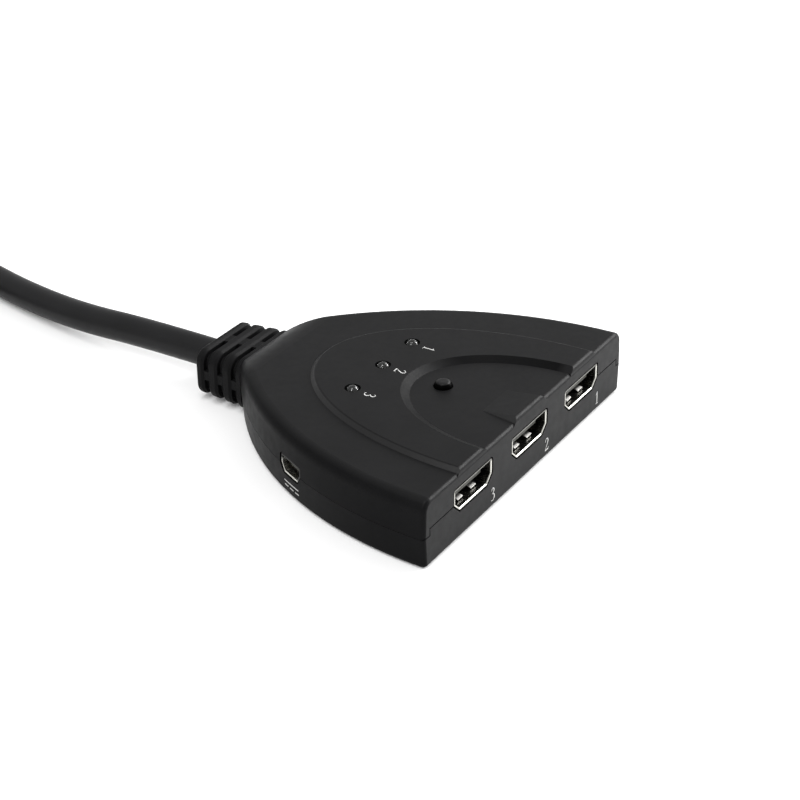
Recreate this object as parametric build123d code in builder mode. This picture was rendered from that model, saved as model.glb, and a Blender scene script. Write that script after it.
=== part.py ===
from build123d import *
import os
from math import asin, atan2, cos, degrees, pi, radians, sin, sqrt, tan

# Lengths are in millimetres. The front face with the sockets looks to -Y, the lead leaves to +Y,
# and the box stands on Z = 0 with its origin under the middle of the housing and its relief.

# Overruns of cuts, and the slack for picking edges
overrun = 1.0
slack = 0.01

# Input sockets, wide side up
socket_count = 3
socket_pitch = 23.34
opening_width = 14.1
opening_height = 4.55
opening_chamfer_width = 1.85
opening_chamfer_height = 1.75
socket_wall = 0.4
socket_depth = 11.4
socket_setback = 0.1
socket_lead_in = 0.15
window_clearance = 0.4
tongue_width = 11.2
tongue_thickness = 1.3
tongue_rise = 0.35
tongue_setback = 1.4
tongue_root = 7.6
core_clearance = 0.05
contact_pitch = 1.0
contact_width = 0.36
contact_thickness = 0.1
contact_setback = 0.6
upper_contacts = 9
lower_contacts = 10
tail_width = 0.24
tail_foot = 0.9
leg_width = 1.3
leg_first = 2.9
leg_spacing = 5.7
leg_slot_clearance = 0.15
spring_width = 2.0
spring_thickness = 0.25
spring_spread = 2.6
spring_root = 7.5
spring_tip = 1.5
spring_bend = 2.9
spring_rise = 0.6

# Stack of heights, from the table up
floor_wall = 2.0
board_lift = 3.15
board_thickness = 1.2
socket_standoff = 0.25
roof_gap = 1.25
roof_wall = 2.0
side_lip = 0.55

# Housing
corner_room = 11.76
neck_width = 21.1
front_wall = 2.0
side_wall = 2.0
back_wall = 2.0
upper_draft = 2.0
lower_draft = 4.0
top_round = 2.7
front_round = 0.9
bottom_round = 1.0
slope_run = 7.5
seam_height = 0.25
seam_depth = 0.5
side_groove_height = 0.08
side_groove_depth = 0.12
panel_inset = 2.4
chamber_length = 8.5
chamber_drop = 2.0

# Raised terrace, the sunk button field in it, and the field's centre wedge
terrace_rise = 0.95
terrace_side_margin = 14.25
terrace_back_margin = 16.5
terrace_centre = 1.0
terrace_sink = 0.5
terrace_round = 0.5
band_side = 8.3
band_back = 21.0
field_depth = 1.0
field_slope_run = 1.9
wedge_width = 10.6
wedge_back_width = 8.0
wedge_length = 8.5
wedge_side_run = 1.1

# Status lights
light_count = 3
light_pitch = 12.0
light_setback = 14.1
light_diameter = 3.0
light_flange_diameter = 3.8
light_flange = 1.0
light_length = 5.3
light_proud = 0.55
light_hole_clearance = 0.25
lead_thickness = 0.5
lead_spread = 1.27
lead_stub = 1.0
lead_hole_clearance = 0.2

# Select button and its push switch
button_setback = 8.1
button_diameter = 4.0
button_proud = 1.25
button_round = 1.2
button_hole_clearance = 0.15
button_flange_diameter = 7.0
button_flange = 0.8
button_flange_gap = 0.3
button_bore_depth = 1.4
button_travel = 0.4
switch_side = 6.2
switch_base_height = 3.0
switch_cover = 0.3
switch_bore_floor = 1.4
plunger_diameter = 2.6
plunger_foot_diameter = 4.0
plunger_foot = 0.6
plunger_clearance = 0.05
switch_hole_clearance = 0.15
switch_leg_width = 0.7
switch_leg_thickness = 0.3
switch_leg_spread = 2.25
switch_leg_stub = 1.0

# Power socket in the side wall
power_distance = 38.65
power_height = 7.15
power_opening_width = 6.9
power_opening_bottom = 4.9
power_opening_height = 3.1
power_wall = 0.4
power_depth = 8.6
power_setback = 0.35
power_window_clearance = 0.35
power_tongue_width = 3.8
power_tongue_thickness = 0.7
power_tongue_setback = 1.2
power_tongue_root = 5.4
power_contact_count = 5
power_contact_pitch = 0.7
power_contact_width = 0.3
power_tab_width = 1.5
power_tab_length = 1.6
power_tab_first = 2.3
power_tab_spacing = 4.2
power_notch_clearance = 0.3

# Board and what it carries
board_side_gap = 0.7
board_front_gap = 0.7
board_back_margin = 10.0
chip_side = 9.0
chip_height = 1.4
chip_standoff = 0.1
chip_pin_count = 12
chip_pin_pitch = 0.65
chip_pin_width = 0.3
chip_pin_thickness = 0.2
chip_pin_reach = 0.9
chip_offset = 14.5
chip_setback = 24.5
regulator_length = 6.5
regulator_width = 3.5
regulator_height = 1.6
regulator_tab = 1.6
regulator_tab_thickness = 0.25
small_length = 2.0
small_width = 1.25
small_height = 0.8
resistor_height = 0.5
small_pitch = 3.1

# Case screws, driven from below
screw_front_setback = 8.0
screw_back_margin = 16.5
screw_back_inset = 7.8
post_diameter = 5.6
screw_head_diameter = 4.0
screw_head = 1.3
screw_shank_diameter = 2.0
screw_length = 8.0
screw_clearance = 0.05
screw_recess = 1.7
screw_recess_clearance = 0.3
screw_slot_width = 0.6
screw_slot_depth = 0.6

# Strain relief
relief_length = 12.8
relief_end_width = 19.5
relief_end_height = 11.0
relief_centre = 6.5
relief_flare_share = 0.067
relief_corner = 3.0
relief_end_round = 0.7
relief_slot = 1.3
relief_slot_depth = 1.5
relief_slot_first = 2.7
relief_slot_pitch = 3.9
relief_groove_half = 1.25
relief_groove_depth = 0.45
relief_rows = 3
relief_top_bridge = 3.1
relief_side_bridge = 2.2
relief_neck_width = 14.0
relief_neck_height = 8.0
relief_neck_clearance = 0.1
relief_flange_rim = 1.4
relief_flange_rim_height = 0.2
relief_flange = 2.0

# Lead
cable_diameter = 7.0
cable_bore_clearance = 0.05
cable_floor_gap = 0.05
cable_end_stub = 1.5
cable_turn_share = 0.45
wire_count = 7
wire_diameter = 0.9
wire_ring = 2.4
wire_pad_pitch = 1.8
wire_start = 0.8
wire_landing = 2.0
wire_reach = 3.4
wire_bend = 0.5
wire_board_gap = 0.02
coil_radius = 44.0
coil_gap = 0.6
coil_turns = 1.5
coil_arcs_per_turn = 4

# Plug
plug_relief_length = 14.0
plug_relief_diameter = 9.4
plug_relief_base = 10.2
plug_relief_slot = 1.1
plug_relief_slot_depth = 0.9
plug_relief_rows = 4
plug_relief_pitch = 2.6
plug_relief_first = 2.4
plug_body_length = 24.0
plug_body_width = 20.4
plug_body_height = 10.6
plug_body_corner = 3.2
plug_shoulder_width = 12.0
plug_shoulder_length = 6.0
plug_face_round = 0.8
plug_grip_count = 4
plug_grip_pitch = 2.4
plug_grip_width = 1.0
plug_grip_depth = 0.5
plug_shell_width = 13.9
plug_shell_height = 4.45
plug_shell_chamfer_width = 1.85
plug_shell_chamfer_height = 1.65
plug_shell_wall = 0.3
plug_shell_length = 11.7
plug_core_setback = 0.8
plug_slot_width = 11.8
plug_slot_height = 1.9
plug_slot_depth = 8.0
plug_contact_pitch = 1.0
plug_contact_width = 0.36
plug_contact_thickness = 0.15
plug_rest_gap = 0.3

# Derived sizes of the housing
body_width = (socket_count - 1) * socket_pitch + opening_width + 2 * socket_wall + 2 * corner_room
half_width = body_width / 2
side_radius = body_width
body_depth = sqrt(side_radius**2 - (half_width + neck_width / 2) ** 2)
overall_depth = body_depth + relief_length
front = -overall_depth / 2
back = front + body_depth
relief_end = back + relief_length

board_bottom = floor_wall + board_lift
board_top = board_bottom + board_thickness
opening_bottom = board_top + socket_standoff + socket_wall
opening_top = opening_bottom + opening_height
ceiling = opening_top + socket_wall + roof_gap
rim_top = ceiling + roof_wall
terrace_top = rim_top + terrace_rise
field_top = terrace_top - field_depth
side_seam = board_top + side_lip
front_seam = opening_bottom - socket_wall + opening_chamfer_height + socket_wall / 2
panel_half = half_width - panel_inset
socket_xs = [(i - (socket_count - 1) / 2) * socket_pitch for i in range(socket_count)]
socket_edge = max(socket_xs) + opening_width / 2 + socket_wall

relief_base_width = relief_end_width + 2 * relief_flare_share * relief_length
relief_base_height = relief_end_height + 2 * relief_flare_share * relief_length
neck_top = relief_centre + relief_base_height / 2

terrace_half = half_width - terrace_side_margin
terrace_reach = body_depth - terrace_back_margin - terrace_centre
field_half = terrace_half - band_side
field_reach = terrace_centre + terrace_reach - band_back
light_y = front + terrace_centre + terrace_reach - light_setback
button_y = front + field_reach - button_setback


def wall_x(distance, inset=0.0):
    """Half the width of the housing at a distance behind its front face."""
    return sqrt((side_radius - inset) ** 2 - distance**2) - half_width


def plan_outline(inset, near, far, mode=Mode.ADD):
    """Draws the housing's plan, both side arcs, between two distances behind the front face."""
    middle = (near + far) / 2
    right = [(wall_x(at, inset), front + at) for at in (near, middle, far)]
    left = [(-x, y) for x, y in right]
    with BuildLine() as outline:
        ThreePointArc(*right)
        Line(right[2], left[2])
        ThreePointArc(*reversed(left))
        Line(left[0], right[0])
    make_face(outline.line.edges(), mode=mode)


def front_profile(top, mode=Mode.ADD):
    """Draws the side view under a level top whose front edge is rounded."""
    with BuildLine() as outline:
        Line((front, 0), (front, top - front_round))
        RadiusArc((front, top - front_round), (front + front_round, top), front_round)
        Line((front + front_round, top), (back, top))
        Line((back, top), (back, 0))
        Line((back, 0), (front, 0))
    make_face(outline.line.edges(), mode=mode)


def face_plane(y, height=0.0):
    """An upright plane that looks to the front, its origin on the middle plane of the box."""
    return Plane(origin=(0, y, height), x_dir=(1, 0, 0), z_dir=(0, -1, 0))


def socket_opening(x, grow=0.0):
    """Draws a socket's opening on an upright plane, with its outline moved out."""
    side = opening_width / 2
    foot = side - opening_chamfer_width
    knee = opening_bottom + opening_chamfer_height
    with BuildLine() as outline:
        Polyline(
            (x - side, opening_top), (x + side, opening_top), (x + side, knee),
            (x + foot, opening_bottom), (x - foot, opening_bottom), (x - side, knee), close=True,
        )
    make_face(outline.line.edges())
    if grow:
        offset(amount=grow)


# Case screws stand midway between the outer sockets and the side wall, and near the back
screw_front_x = (socket_edge + wall_x(screw_front_setback, side_wall)) / 2
screw_back_distance = body_depth - screw_back_margin
screw_back_x = wall_x(screw_back_distance, side_wall) - screw_back_inset
screw_places = [
    (side * x, front + distance)
    for x, distance in ((screw_front_x, screw_front_setback), (screw_back_x, screw_back_distance))
    for side in (-1, 1)
]

# Power socket: its axis is square to the side wall, which is an arc about the far front corner
power_angle = power_distance / side_radius
power_out = Vector(-cos(power_angle), sin(power_angle), 0)
power_mouth = Vector(half_width, front, power_height) + power_out * side_radius
power_side = Vector(0, 0, 1).cross(power_out)


def power_plane(depth):
    """A plane square to the power socket's axis, at a depth inside the side wall."""
    return Plane(origin=power_mouth - power_out * depth, x_dir=power_side, z_dir=power_out)


def power_opening(grow=0.0):
    """Draws the power socket's opening, wide side up, with its outline moved out."""
    top, bottom = power_opening_width / 2, power_opening_bottom / 2
    half = power_opening_height / 2
    with BuildLine() as outline:
        Polyline((-top, half), (top, half), (top, 0), (bottom, -half), (-bottom, -half), (-top, 0), close=True)
    make_face(outline.line.edges())
    if grow:
        offset(amount=grow)


# Terrace, with a sloping step all round and the front edge rounded like the rim's
with BuildPart() as terrace:
    step = terrace_rise + terrace_sink
    with BuildSketch(Plane.XY.offset(rim_top - terrace_sink)):
        with Locations((0, front + terrace_centre)):
            Ellipse(terrace_half + step, terrace_reach + step)
    with BuildSketch(Plane.XY.offset(terrace_top)):
        with Locations((0, front + terrace_centre)):
            Ellipse(terrace_half, terrace_reach)
    loft(ruled=True)
    fillet(terrace.edges().group_by(Axis.Z)[-1], terrace_round)
    with BuildSketch(Plane.YZ):
        front_profile(terrace_top)
    extrude(amount=half_width, both=True, mode=Mode.INTERSECT)

# What is cut away above the sunk button field, with a cove along the front edge
with BuildPart() as field_cut:
    slope_height = field_depth + overrun
    slope_run_out = field_slope_run * slope_height / field_depth
    floor_half = field_half - field_slope_run
    floor_reach = field_reach - field_slope_run
    with BuildSketch(Plane.XY.offset(field_top)):
        with Locations((0, front)):
            Ellipse(floor_half, floor_reach)
    with BuildSketch(Plane.XY.offset(field_top + slope_height)):
        with Locations((0, front)):
            Ellipse(floor_half + slope_run_out, floor_reach + slope_run_out)
    loft(ruled=True)
    with BuildSketch(Plane.YZ):
        with BuildLine():
            RadiusArc((front, field_top - front_round), (front + front_round, field_top), front_round)
            Line((front + front_round, field_top), (front + front_round, terrace_top + overrun))
            Line((front + front_round, terrace_top + overrun), (front - overrun, terrace_top + overrun))
            Line((front - overrun, terrace_top + overrun), (front - overrun, field_top - front_round))
            Line((front - overrun, field_top - front_round), (front, field_top - front_round))
        make_face()
    extrude(amount=floor_half, both=True)

# Wedge that rises from the button field to the front edge over the middle socket
with BuildPart() as wedge:
    wedge_slope = wedge_side_run / field_depth
    for height in (ceiling, terrace_top):
        spread = wedge_slope * (terrace_top - height)
        with BuildSketch(Plane.XY.offset(height)):
            with BuildLine():
                Polyline(
                    (-wedge_width / 2 - spread, front), (wedge_width / 2 + spread, front),
                    (wedge_back_width / 2 + spread, front + wedge_length),
                    (-wedge_back_width / 2 - spread, front + wedge_length), close=True,
                )
            make_face()
    loft(ruled=True)
    with BuildSketch(Plane.YZ):
        with BuildLine():
            Line((front, ceiling), (front, terrace_top - front_round))
            RadiusArc(
                (front, terrace_top - front_round), (front + front_round, terrace_top), front_round
            )
            Line((front + front_round, terrace_top), (front + wedge_length, field_top))
            Line((front + wedge_length, field_top), (front + wedge_length, ceiling))
            Line((front + wedge_length, ceiling), (front, ceiling))
        make_face()
    extrude(amount=half_width, both=True, mode=Mode.INTERSECT)

# Upper housing
with BuildPart() as upper_housing:
    with BuildSketch(Plane.XY.offset(side_seam)):
        plan_outline(0, -overrun, body_depth + overrun)
    extrude(amount=rim_top - side_seam, taper=upper_draft)
    with BuildSketch(Plane.XY):
        with Locations((0, front)):
            Rectangle(2 * body_width, body_depth, align=(Align.CENTER, Align.MIN))
    extrude(amount=rim_top + overrun, mode=Mode.INTERSECT)
    slope_drop = rim_top - neck_top
    slope_radius = (slope_run**2 + slope_drop**2) / (2 * slope_drop)
    with BuildSketch(Plane.YZ):
        with BuildLine():
            slope_start = (back - slope_run, rim_top)
            half_turn = asin(slope_run / slope_radius) / 2
            slope_middle = (
                back - slope_run + slope_radius * sin(half_turn),
                rim_top - slope_radius * (1 - cos(half_turn)),
            )
            ThreePointArc(slope_start, slope_middle, (back, neck_top))
            Line((back, neck_top), (back + overrun, neck_top))
            Line((back + overrun, neck_top), (back + overrun, rim_top + overrun))
            Line((back + overrun, rim_top + overrun), (back - slope_run, rim_top + overrun))
            Line((back - slope_run, rim_top + overrun), slope_start)
        make_face()
    extrude(amount=body_width, both=True, mode=Mode.SUBTRACT)
    side_edges = upper_housing.edges().filter_by(
        lambda e: e.center().Z > (side_seam + rim_top) / 2
        and abs(e.center().X) > neck_width / 4
        and front + slack < e.center().Y < back - slack
    )
    fillet(side_edges, top_round)
    face_edges = upper_housing.faces().sort_by(Axis.Y)[0].edges()
    fillet(face_edges.filter_by(lambda e: e.center().Z > side_seam + slack), front_round)
    add(terrace.part)
    add(field_cut.part, mode=Mode.SUBTRACT)
    add(wedge.part)
    # Room inside, with a lower chamber at the neck
    with BuildSketch(Plane.XY.offset(side_seam)):
        plan_outline(side_wall, front_wall, body_depth - chamber_length)
    extrude(amount=ceiling - side_seam, mode=Mode.SUBTRACT)
    with BuildSketch(Plane.XY.offset(side_seam)):
        plan_outline(side_wall, body_depth - chamber_length - overrun, body_depth - back_wall)
    extrude(amount=ceiling - chamber_drop - side_seam, mode=Mode.SUBTRACT)
    # Bosses that come down onto the board, with the screws' pilot holes
    with BuildSketch(Plane.XY.offset(board_top)):
        with Locations(*screw_places):
            Circle(post_diameter / 2)
    extrude(amount=ceiling - board_top)
    with BuildSketch(Plane.XY.offset(board_top)):
        with Locations(*screw_places):
            Circle(screw_shank_diameter / 2 + screw_clearance)
    extrude(amount=screw_length - board_top + screw_recess + overrun, mode=Mode.SUBTRACT)
    # Seam: a fine shadow groove, and the notch for the lower housing's front panel
    with BuildSketch(Plane.XY.offset(side_seam)):
        plan_outline(-seam_depth, -seam_depth, body_depth + seam_depth)
        plan_outline(side_groove_depth, seam_depth, body_depth - side_groove_depth, mode=Mode.SUBTRACT)
    extrude(amount=side_groove_height, mode=Mode.SUBTRACT)
    with BuildSketch(face_plane(front)):
        with Locations((0, side_seam)):
            Rectangle(2 * half_width, seam_height, align=(Align.CENTER, Align.MIN))
    extrude(amount=-seam_depth, mode=Mode.SUBTRACT)
    with BuildSketch(face_plane(front)):
        with Locations((0, side_seam)):
            Rectangle(2 * (panel_half + seam_height), front_seam - side_seam, align=(Align.CENTER, Align.MIN))
    extrude(amount=-front_wall, mode=Mode.SUBTRACT)
    seam_reach = panel_half + seam_height
    seam_root = max(socket_xs)
    with BuildSketch(face_plane(front)):
        with Locations(*[(side * (seam_root + seam_reach) / 2, side_seam) for side in (-1, 1)]):
            Rectangle(
                seam_reach - seam_root, front_seam + seam_height - side_seam,
                align=(Align.CENTER, Align.MIN),
            )
    extrude(amount=-seam_depth, mode=Mode.SUBTRACT)
    # Holes for the sockets, the lights, the button, the power socket and the relief's neck
    for socket_x in socket_xs:
        with BuildSketch(face_plane(front - overrun)):
            socket_opening(socket_x, socket_wall + window_clearance)
        extrude(amount=-front_wall - 2 * overrun, mode=Mode.SUBTRACT)
    with BuildSketch(Plane.XY.offset(ceiling - overrun)):
        with Locations((0, light_y)):
            with GridLocations(light_pitch, 0, light_count, 1):
                Circle(light_diameter / 2 + light_hole_clearance)
        with Locations((0, button_y)):
            Circle(button_diameter / 2 + button_hole_clearance)
    extrude(amount=terrace_top - ceiling + 2 * overrun, mode=Mode.SUBTRACT)
    with BuildSketch(power_plane(-overrun)):
        power_opening(power_wall + power_window_clearance)
    extrude(amount=-side_wall - 2 * overrun, mode=Mode.SUBTRACT)
    with BuildSketch(face_plane(back + overrun, relief_centre)):
        RectangleRounded(relief_neck_width, relief_neck_height, relief_corner)
    extrude(amount=back_wall + 2 * overrun, mode=Mode.SUBTRACT)
upper_housing.part.label = "upper_housing"

# Lower housing
with BuildPart() as lower_housing:
    with BuildSketch(Plane.XY.offset(side_seam)):
        plan_outline(0, -overrun, body_depth + overrun)
    extrude(amount=-side_seam, taper=lower_draft)
    with BuildSketch(Plane.XY):
        with Locations((0, front)):
            Rectangle(2 * body_width, body_depth, align=(Align.CENTER, Align.MIN))
    extrude(amount=side_seam, mode=Mode.INTERSECT)
    face_edges = lower_housing.faces().sort_by(Axis.Y)[0].edges()
    fillet(face_edges.filter_by(lambda e: abs(e.center().X) > half_width / 2), front_round)
    fillet(lower_housing.faces().sort_by(Axis.Z)[0].edges(), bottom_round)
    with BuildSketch(Plane.XY.offset(floor_wall)):
        plan_outline(side_wall, front_wall, body_depth - back_wall)
    extrude(amount=side_seam - floor_wall, mode=Mode.SUBTRACT)
    # Front panel that rises to the seam at the sockets
    with BuildSketch(face_plane(front)):
        with Locations((0, side_seam - side_lip)):
            Rectangle(2 * panel_half, front_seam - side_seam + side_lip, align=(Align.CENTER, Align.MIN))
    extrude(amount=-front_wall)
    # Posts that carry the board, bored for the case screws
    with BuildSketch(Plane.XY.offset(floor_wall)):
        with Locations(*screw_places):
            Circle(post_diameter / 2)
    extrude(amount=board_lift)
    with Locations(*[(x, y, 0) for x, y in screw_places]):
        Cylinder(
            screw_shank_diameter / 2 + screw_clearance, board_bottom,
            align=(Align.CENTER, Align.CENTER, Align.MIN), mode=Mode.SUBTRACT,
        )
        Cylinder(
            screw_head_diameter / 2 + screw_recess_clearance, screw_recess,
            align=(Align.CENTER, Align.CENTER, Align.MIN), mode=Mode.SUBTRACT,
        )
    for socket_x in socket_xs:
        with BuildSketch(face_plane(front - overrun)):
            socket_opening(socket_x, socket_wall + window_clearance)
        extrude(amount=-front_wall - 2 * overrun, mode=Mode.SUBTRACT)
    with BuildSketch(power_plane(-overrun)):
        power_opening(power_wall + power_window_clearance)
    extrude(amount=-side_wall - 2 * overrun, mode=Mode.SUBTRACT)
    with BuildSketch(face_plane(back + overrun, relief_centre)):
        RectangleRounded(relief_neck_width, relief_neck_height, relief_corner)
    extrude(amount=back_wall + 2 * overrun, mode=Mode.SUBTRACT)
lower_housing.part.label = "lower_housing"

# Case screws: pan head with a cross slot, sunk in the base
with BuildPart() as case_screws:
    with Locations(*[(x, y, screw_recess) for x, y in screw_places]):
        Cylinder(screw_head_diameter / 2, screw_head, align=(Align.CENTER, Align.CENTER, Align.MAX))
        Cylinder(
            screw_shank_diameter / 2, screw_length, align=(Align.CENTER, Align.CENTER, Align.MIN)
        )
    with Locations(*[(x, y, screw_recess - screw_head) for x, y in screw_places]):
        for turn in (0, 90):
            Box(
                screw_head_diameter * 3 / 4, screw_slot_width, screw_slot_depth,
                rotation=(0, 0, turn), align=(Align.CENTER, Align.CENTER, Align.MIN),
                mode=Mode.SUBTRACT,
            )
case_screws.part.label = "case_screws"

# Input sockets
leg_x = opening_width / 2 + socket_wall / 2
leg_ys = [front + socket_setback + leg_first + i * leg_spacing for i in range(2)]
leg_top = opening_bottom + opening_chamfer_height + socket_wall
leg_bottom = board_bottom - board_thickness / 2
opening_middle = (opening_bottom + opening_top) / 2
tongue_middle = opening_middle + tongue_rise
tongue_front = front + socket_setback + tongue_setback
tongue_back = front + socket_setback + tongue_root
socket_back = front + socket_setback + socket_depth
socket_names = [str(socket_count - i) for i in range(socket_count)]
exported = [upper_housing, lower_housing, case_screws]

for name, socket_x in zip(socket_names, socket_xs):
    with BuildPart() as input_socket_shell:
        with BuildSketch(face_plane(front + socket_setback)):
            socket_opening(socket_x, socket_wall)
        extrude(amount=-socket_depth)
        with BuildSketch(face_plane(front + socket_setback)):
            socket_opening(socket_x)
        extrude(amount=-socket_depth, mode=Mode.SUBTRACT)
        rim = input_socket_shell.faces().sort_by(Axis.Y)[0].inner_wires()[0].edges()
        chamfer(rim, socket_lead_in)
        with BuildSketch(Plane.XY.offset(leg_bottom)):
            with Locations(*[(socket_x + side * leg_x, y) for side in (-1, 1) for y in leg_ys]):
                Rectangle(socket_wall, leg_width)
        extrude(amount=leg_top - leg_bottom)
    input_socket_shell.part.label = f"input_socket_shell_{name}"
    exported.append(input_socket_shell)

    with BuildPart() as input_socket_core:
        with BuildSketch(face_plane(tongue_back)):
            socket_opening(socket_x, -core_clearance)
        extrude(amount=tongue_back - socket_back)
        with BuildSketch(face_plane(tongue_front)):
            with Locations((socket_x, tongue_middle)):
                Rectangle(tongue_width, tongue_thickness)
        extrude(amount=tongue_front - tongue_back)
        chamfer(input_socket_core.faces().sort_by(Axis.Y)[0].edges(), tongue_thickness / 4)
    input_socket_core.part.label = f"input_socket_core_{name}"
    exported.append(input_socket_core)

    with BuildPart() as input_socket_contacts:
        with BuildSketch(face_plane(tongue_front + contact_setback)):
            for row, count in ((1, upper_contacts), (-1, lower_contacts)):
                height = tongue_middle + row * (tongue_thickness + contact_thickness) / 2
                with Locations((socket_x, height)):
                    with GridLocations(contact_pitch, 0, count, 1):
                        Rectangle(contact_width, contact_thickness)
        extrude(amount=tongue_front + contact_setback - tongue_back)
        tails = upper_contacts + lower_contacts
        with BuildSketch(Plane.YZ):
            with BuildLine():
                Polyline(
                    (socket_back, opening_middle), (socket_back + contact_thickness, opening_middle),
                    (socket_back + contact_thickness, board_top + contact_thickness),
                    (socket_back + tail_foot, board_top + contact_thickness),
                    (socket_back + tail_foot, board_top), (socket_back, board_top), close=True,
                )
            make_face()
        tail = extrude(amount=tail_width / 2, both=True, mode=Mode.PRIVATE)
        with Locations((socket_x, 0)):
            with GridLocations(contact_pitch / 2, 0, tails, 1):
                add(tail)
    input_socket_contacts.part.label = f"input_socket_contacts_{name}"
    exported.append(input_socket_contacts)

# Leaf springs that grip a plug: two on the floor and two under the roof of each socket
with BuildPart() as socket_leaf_springs:
    mouth = front + socket_setback
    for level, up in ((opening_bottom, 1), (opening_top, -1)):
        outline = [
            (mouth + spring_root, level),
            (mouth + spring_bend, level + up * spring_rise),
            (mouth + spring_tip, level + up * spring_rise / 2),
            (mouth + spring_tip, level + up * (spring_rise / 2 + spring_thickness)),
            (mouth + spring_bend, level + up * (spring_rise + spring_thickness)),
            (mouth + spring_root, level + up * spring_thickness),
        ]
        with BuildSketch(Plane.YZ):
            with BuildLine():
                Polyline(*outline, close=True)
            make_face()
        leaf = extrude(amount=spring_width / 2, both=True, mode=Mode.PRIVATE)
        with Locations(*[(x + side * spring_spread, 0) for x in socket_xs for side in (-1, 1)]):
            add(leaf)
socket_leaf_springs.part.label = "socket_leaf_springs"
exported.append(socket_leaf_springs)

# Power socket
with BuildPart() as power_socket_shell:
    with BuildSketch(power_plane(power_setback)):
        power_opening(power_wall)
    extrude(amount=-power_depth)
    with BuildSketch(power_plane(power_setback)):
        power_opening()
    extrude(amount=-power_depth, mode=Mode.SUBTRACT)
    tab_rise = board_top - power_height
    tab_reach = power_opening_width / 2 + power_wall + power_tab_length
    tab_root = power_opening_width / 2 + power_wall / 2
    for i in range(2):
        with BuildSketch(power_plane(power_setback + power_tab_first + i * power_tab_spacing)):
            for side in (-1, 1):
                with Locations((side * (tab_root + tab_reach) / 2, tab_rise + power_wall / 2)):
                    Rectangle(tab_reach - tab_root, power_wall)
        extrude(amount=-power_tab_width)
power_socket_shell.part.label = "power_socket_shell"

with BuildPart() as power_socket_core:
    with BuildSketch(power_plane(power_setback + power_tongue_root)):
        power_opening(-core_clearance)
    extrude(amount=power_tongue_root - power_depth)
    with BuildSketch(power_plane(power_setback + power_tongue_setback)):
        Rectangle(power_tongue_width, power_tongue_thickness)
    extrude(amount=power_tongue_setback - power_tongue_root)
power_socket_core.part.label = "power_socket_core"

with BuildPart() as power_socket_contacts:
    with BuildSketch(power_plane(power_setback + power_tongue_setback + contact_setback)):
        with Locations((0, -(power_tongue_thickness + contact_thickness) / 2)):
            with GridLocations(power_contact_pitch, 0, power_contact_count, 1):
                Rectangle(power_contact_width, contact_thickness)
    extrude(amount=power_tongue_setback + contact_setback - power_tongue_root)
power_socket_contacts.part.label = "power_socket_contacts"
exported += [power_socket_shell, power_socket_core, power_socket_contacts]

# Circuit board, notched for the power socket and holed for legs, leads and screws
light_xs = [(i - (light_count - 1) / 2) * light_pitch for i in range(light_count)]
with BuildPart() as circuit_board:
    with BuildSketch(Plane.XY.offset(board_bottom)):
        plan_outline(
            side_wall + board_side_gap, front_wall + board_front_gap, body_depth - board_back_margin
        )
        with Locations(*screw_places):
            Circle(screw_shank_diameter / 2 + screw_recess_clearance, mode=Mode.SUBTRACT)
        with Locations(*[
            (x + side * leg_x, y) for x in socket_xs for side in (-1, 1) for y in leg_ys
        ]):
            Rectangle(
                socket_wall + 2 * leg_slot_clearance, leg_width + 2 * leg_slot_clearance,
                mode=Mode.SUBTRACT,
            )
        with Locations(*[(x + side * lead_spread, light_y) for x in light_xs for side in (-1, 1)]):
            Rectangle(
                lead_thickness + lead_hole_clearance, lead_thickness + lead_hole_clearance,
                mode=Mode.SUBTRACT,
            )
        with Locations((0, button_y)):
            with GridLocations(switch_side, 2 * switch_leg_spread, 2, 2):
                Rectangle(
                    switch_leg_thickness + 2 * switch_hole_clearance,
                    switch_leg_width + 2 * switch_hole_clearance, mode=Mode.SUBTRACT,
                )
    extrude(amount=board_thickness)
    with BuildSketch(power_plane(0)):
        Rectangle(
            power_opening_width + 2 * power_wall + 2 * power_notch_clearance,
            2 * (power_opening_height + power_wall),
        )
    extrude(amount=-power_setback - power_depth - power_notch_clearance, mode=Mode.SUBTRACT)
circuit_board.part.label = "circuit_board"

# Switching chip with its leads, the regulator and the small parts
chip_base = board_top + chip_standoff
chip_x, chip_y = chip_offset, front + chip_setback
with BuildPart() as switch_chip:
    with BuildSketch(Plane.XY.offset(chip_base)):
        with Locations((chip_x, chip_y)):
            Rectangle(chip_side, chip_side)
    extrude(amount=chip_height)
    chamfer(switch_chip.edges().group_by(Axis.Z)[-1], chip_standoff)
switch_chip.part.label = "switch_chip"

with BuildPart() as chip_leads:
    pin_root = chip_side / 2
    pin_high = chip_base + chip_height / 2
    with BuildSketch(Plane.YZ):
        with BuildLine():
            Polyline(
                (pin_root, pin_high), (pin_root + chip_pin_reach / 2, pin_high),
                (pin_root + chip_pin_reach / 2, board_top + chip_pin_thickness),
                (pin_root + chip_pin_reach, board_top + chip_pin_thickness),
                (pin_root + chip_pin_reach, board_top),
                (pin_root + chip_pin_reach / 2 - chip_pin_thickness, board_top),
                (pin_root + chip_pin_reach / 2 - chip_pin_thickness, pin_high - chip_pin_thickness),
                (pin_root, pin_high - chip_pin_thickness), close=True,
            )
        make_face()
    pin = extrude(amount=chip_pin_width / 2, both=True, mode=Mode.PRIVATE)
    with Locations((chip_x, chip_y)):
        for turn in range(4):
            with Locations(Rotation(0, 0, 90 * turn)):
                with GridLocations(chip_pin_pitch, 0, chip_pin_count, 1):
                    add(pin)
chip_leads.part.label = "chip_leads"

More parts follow.
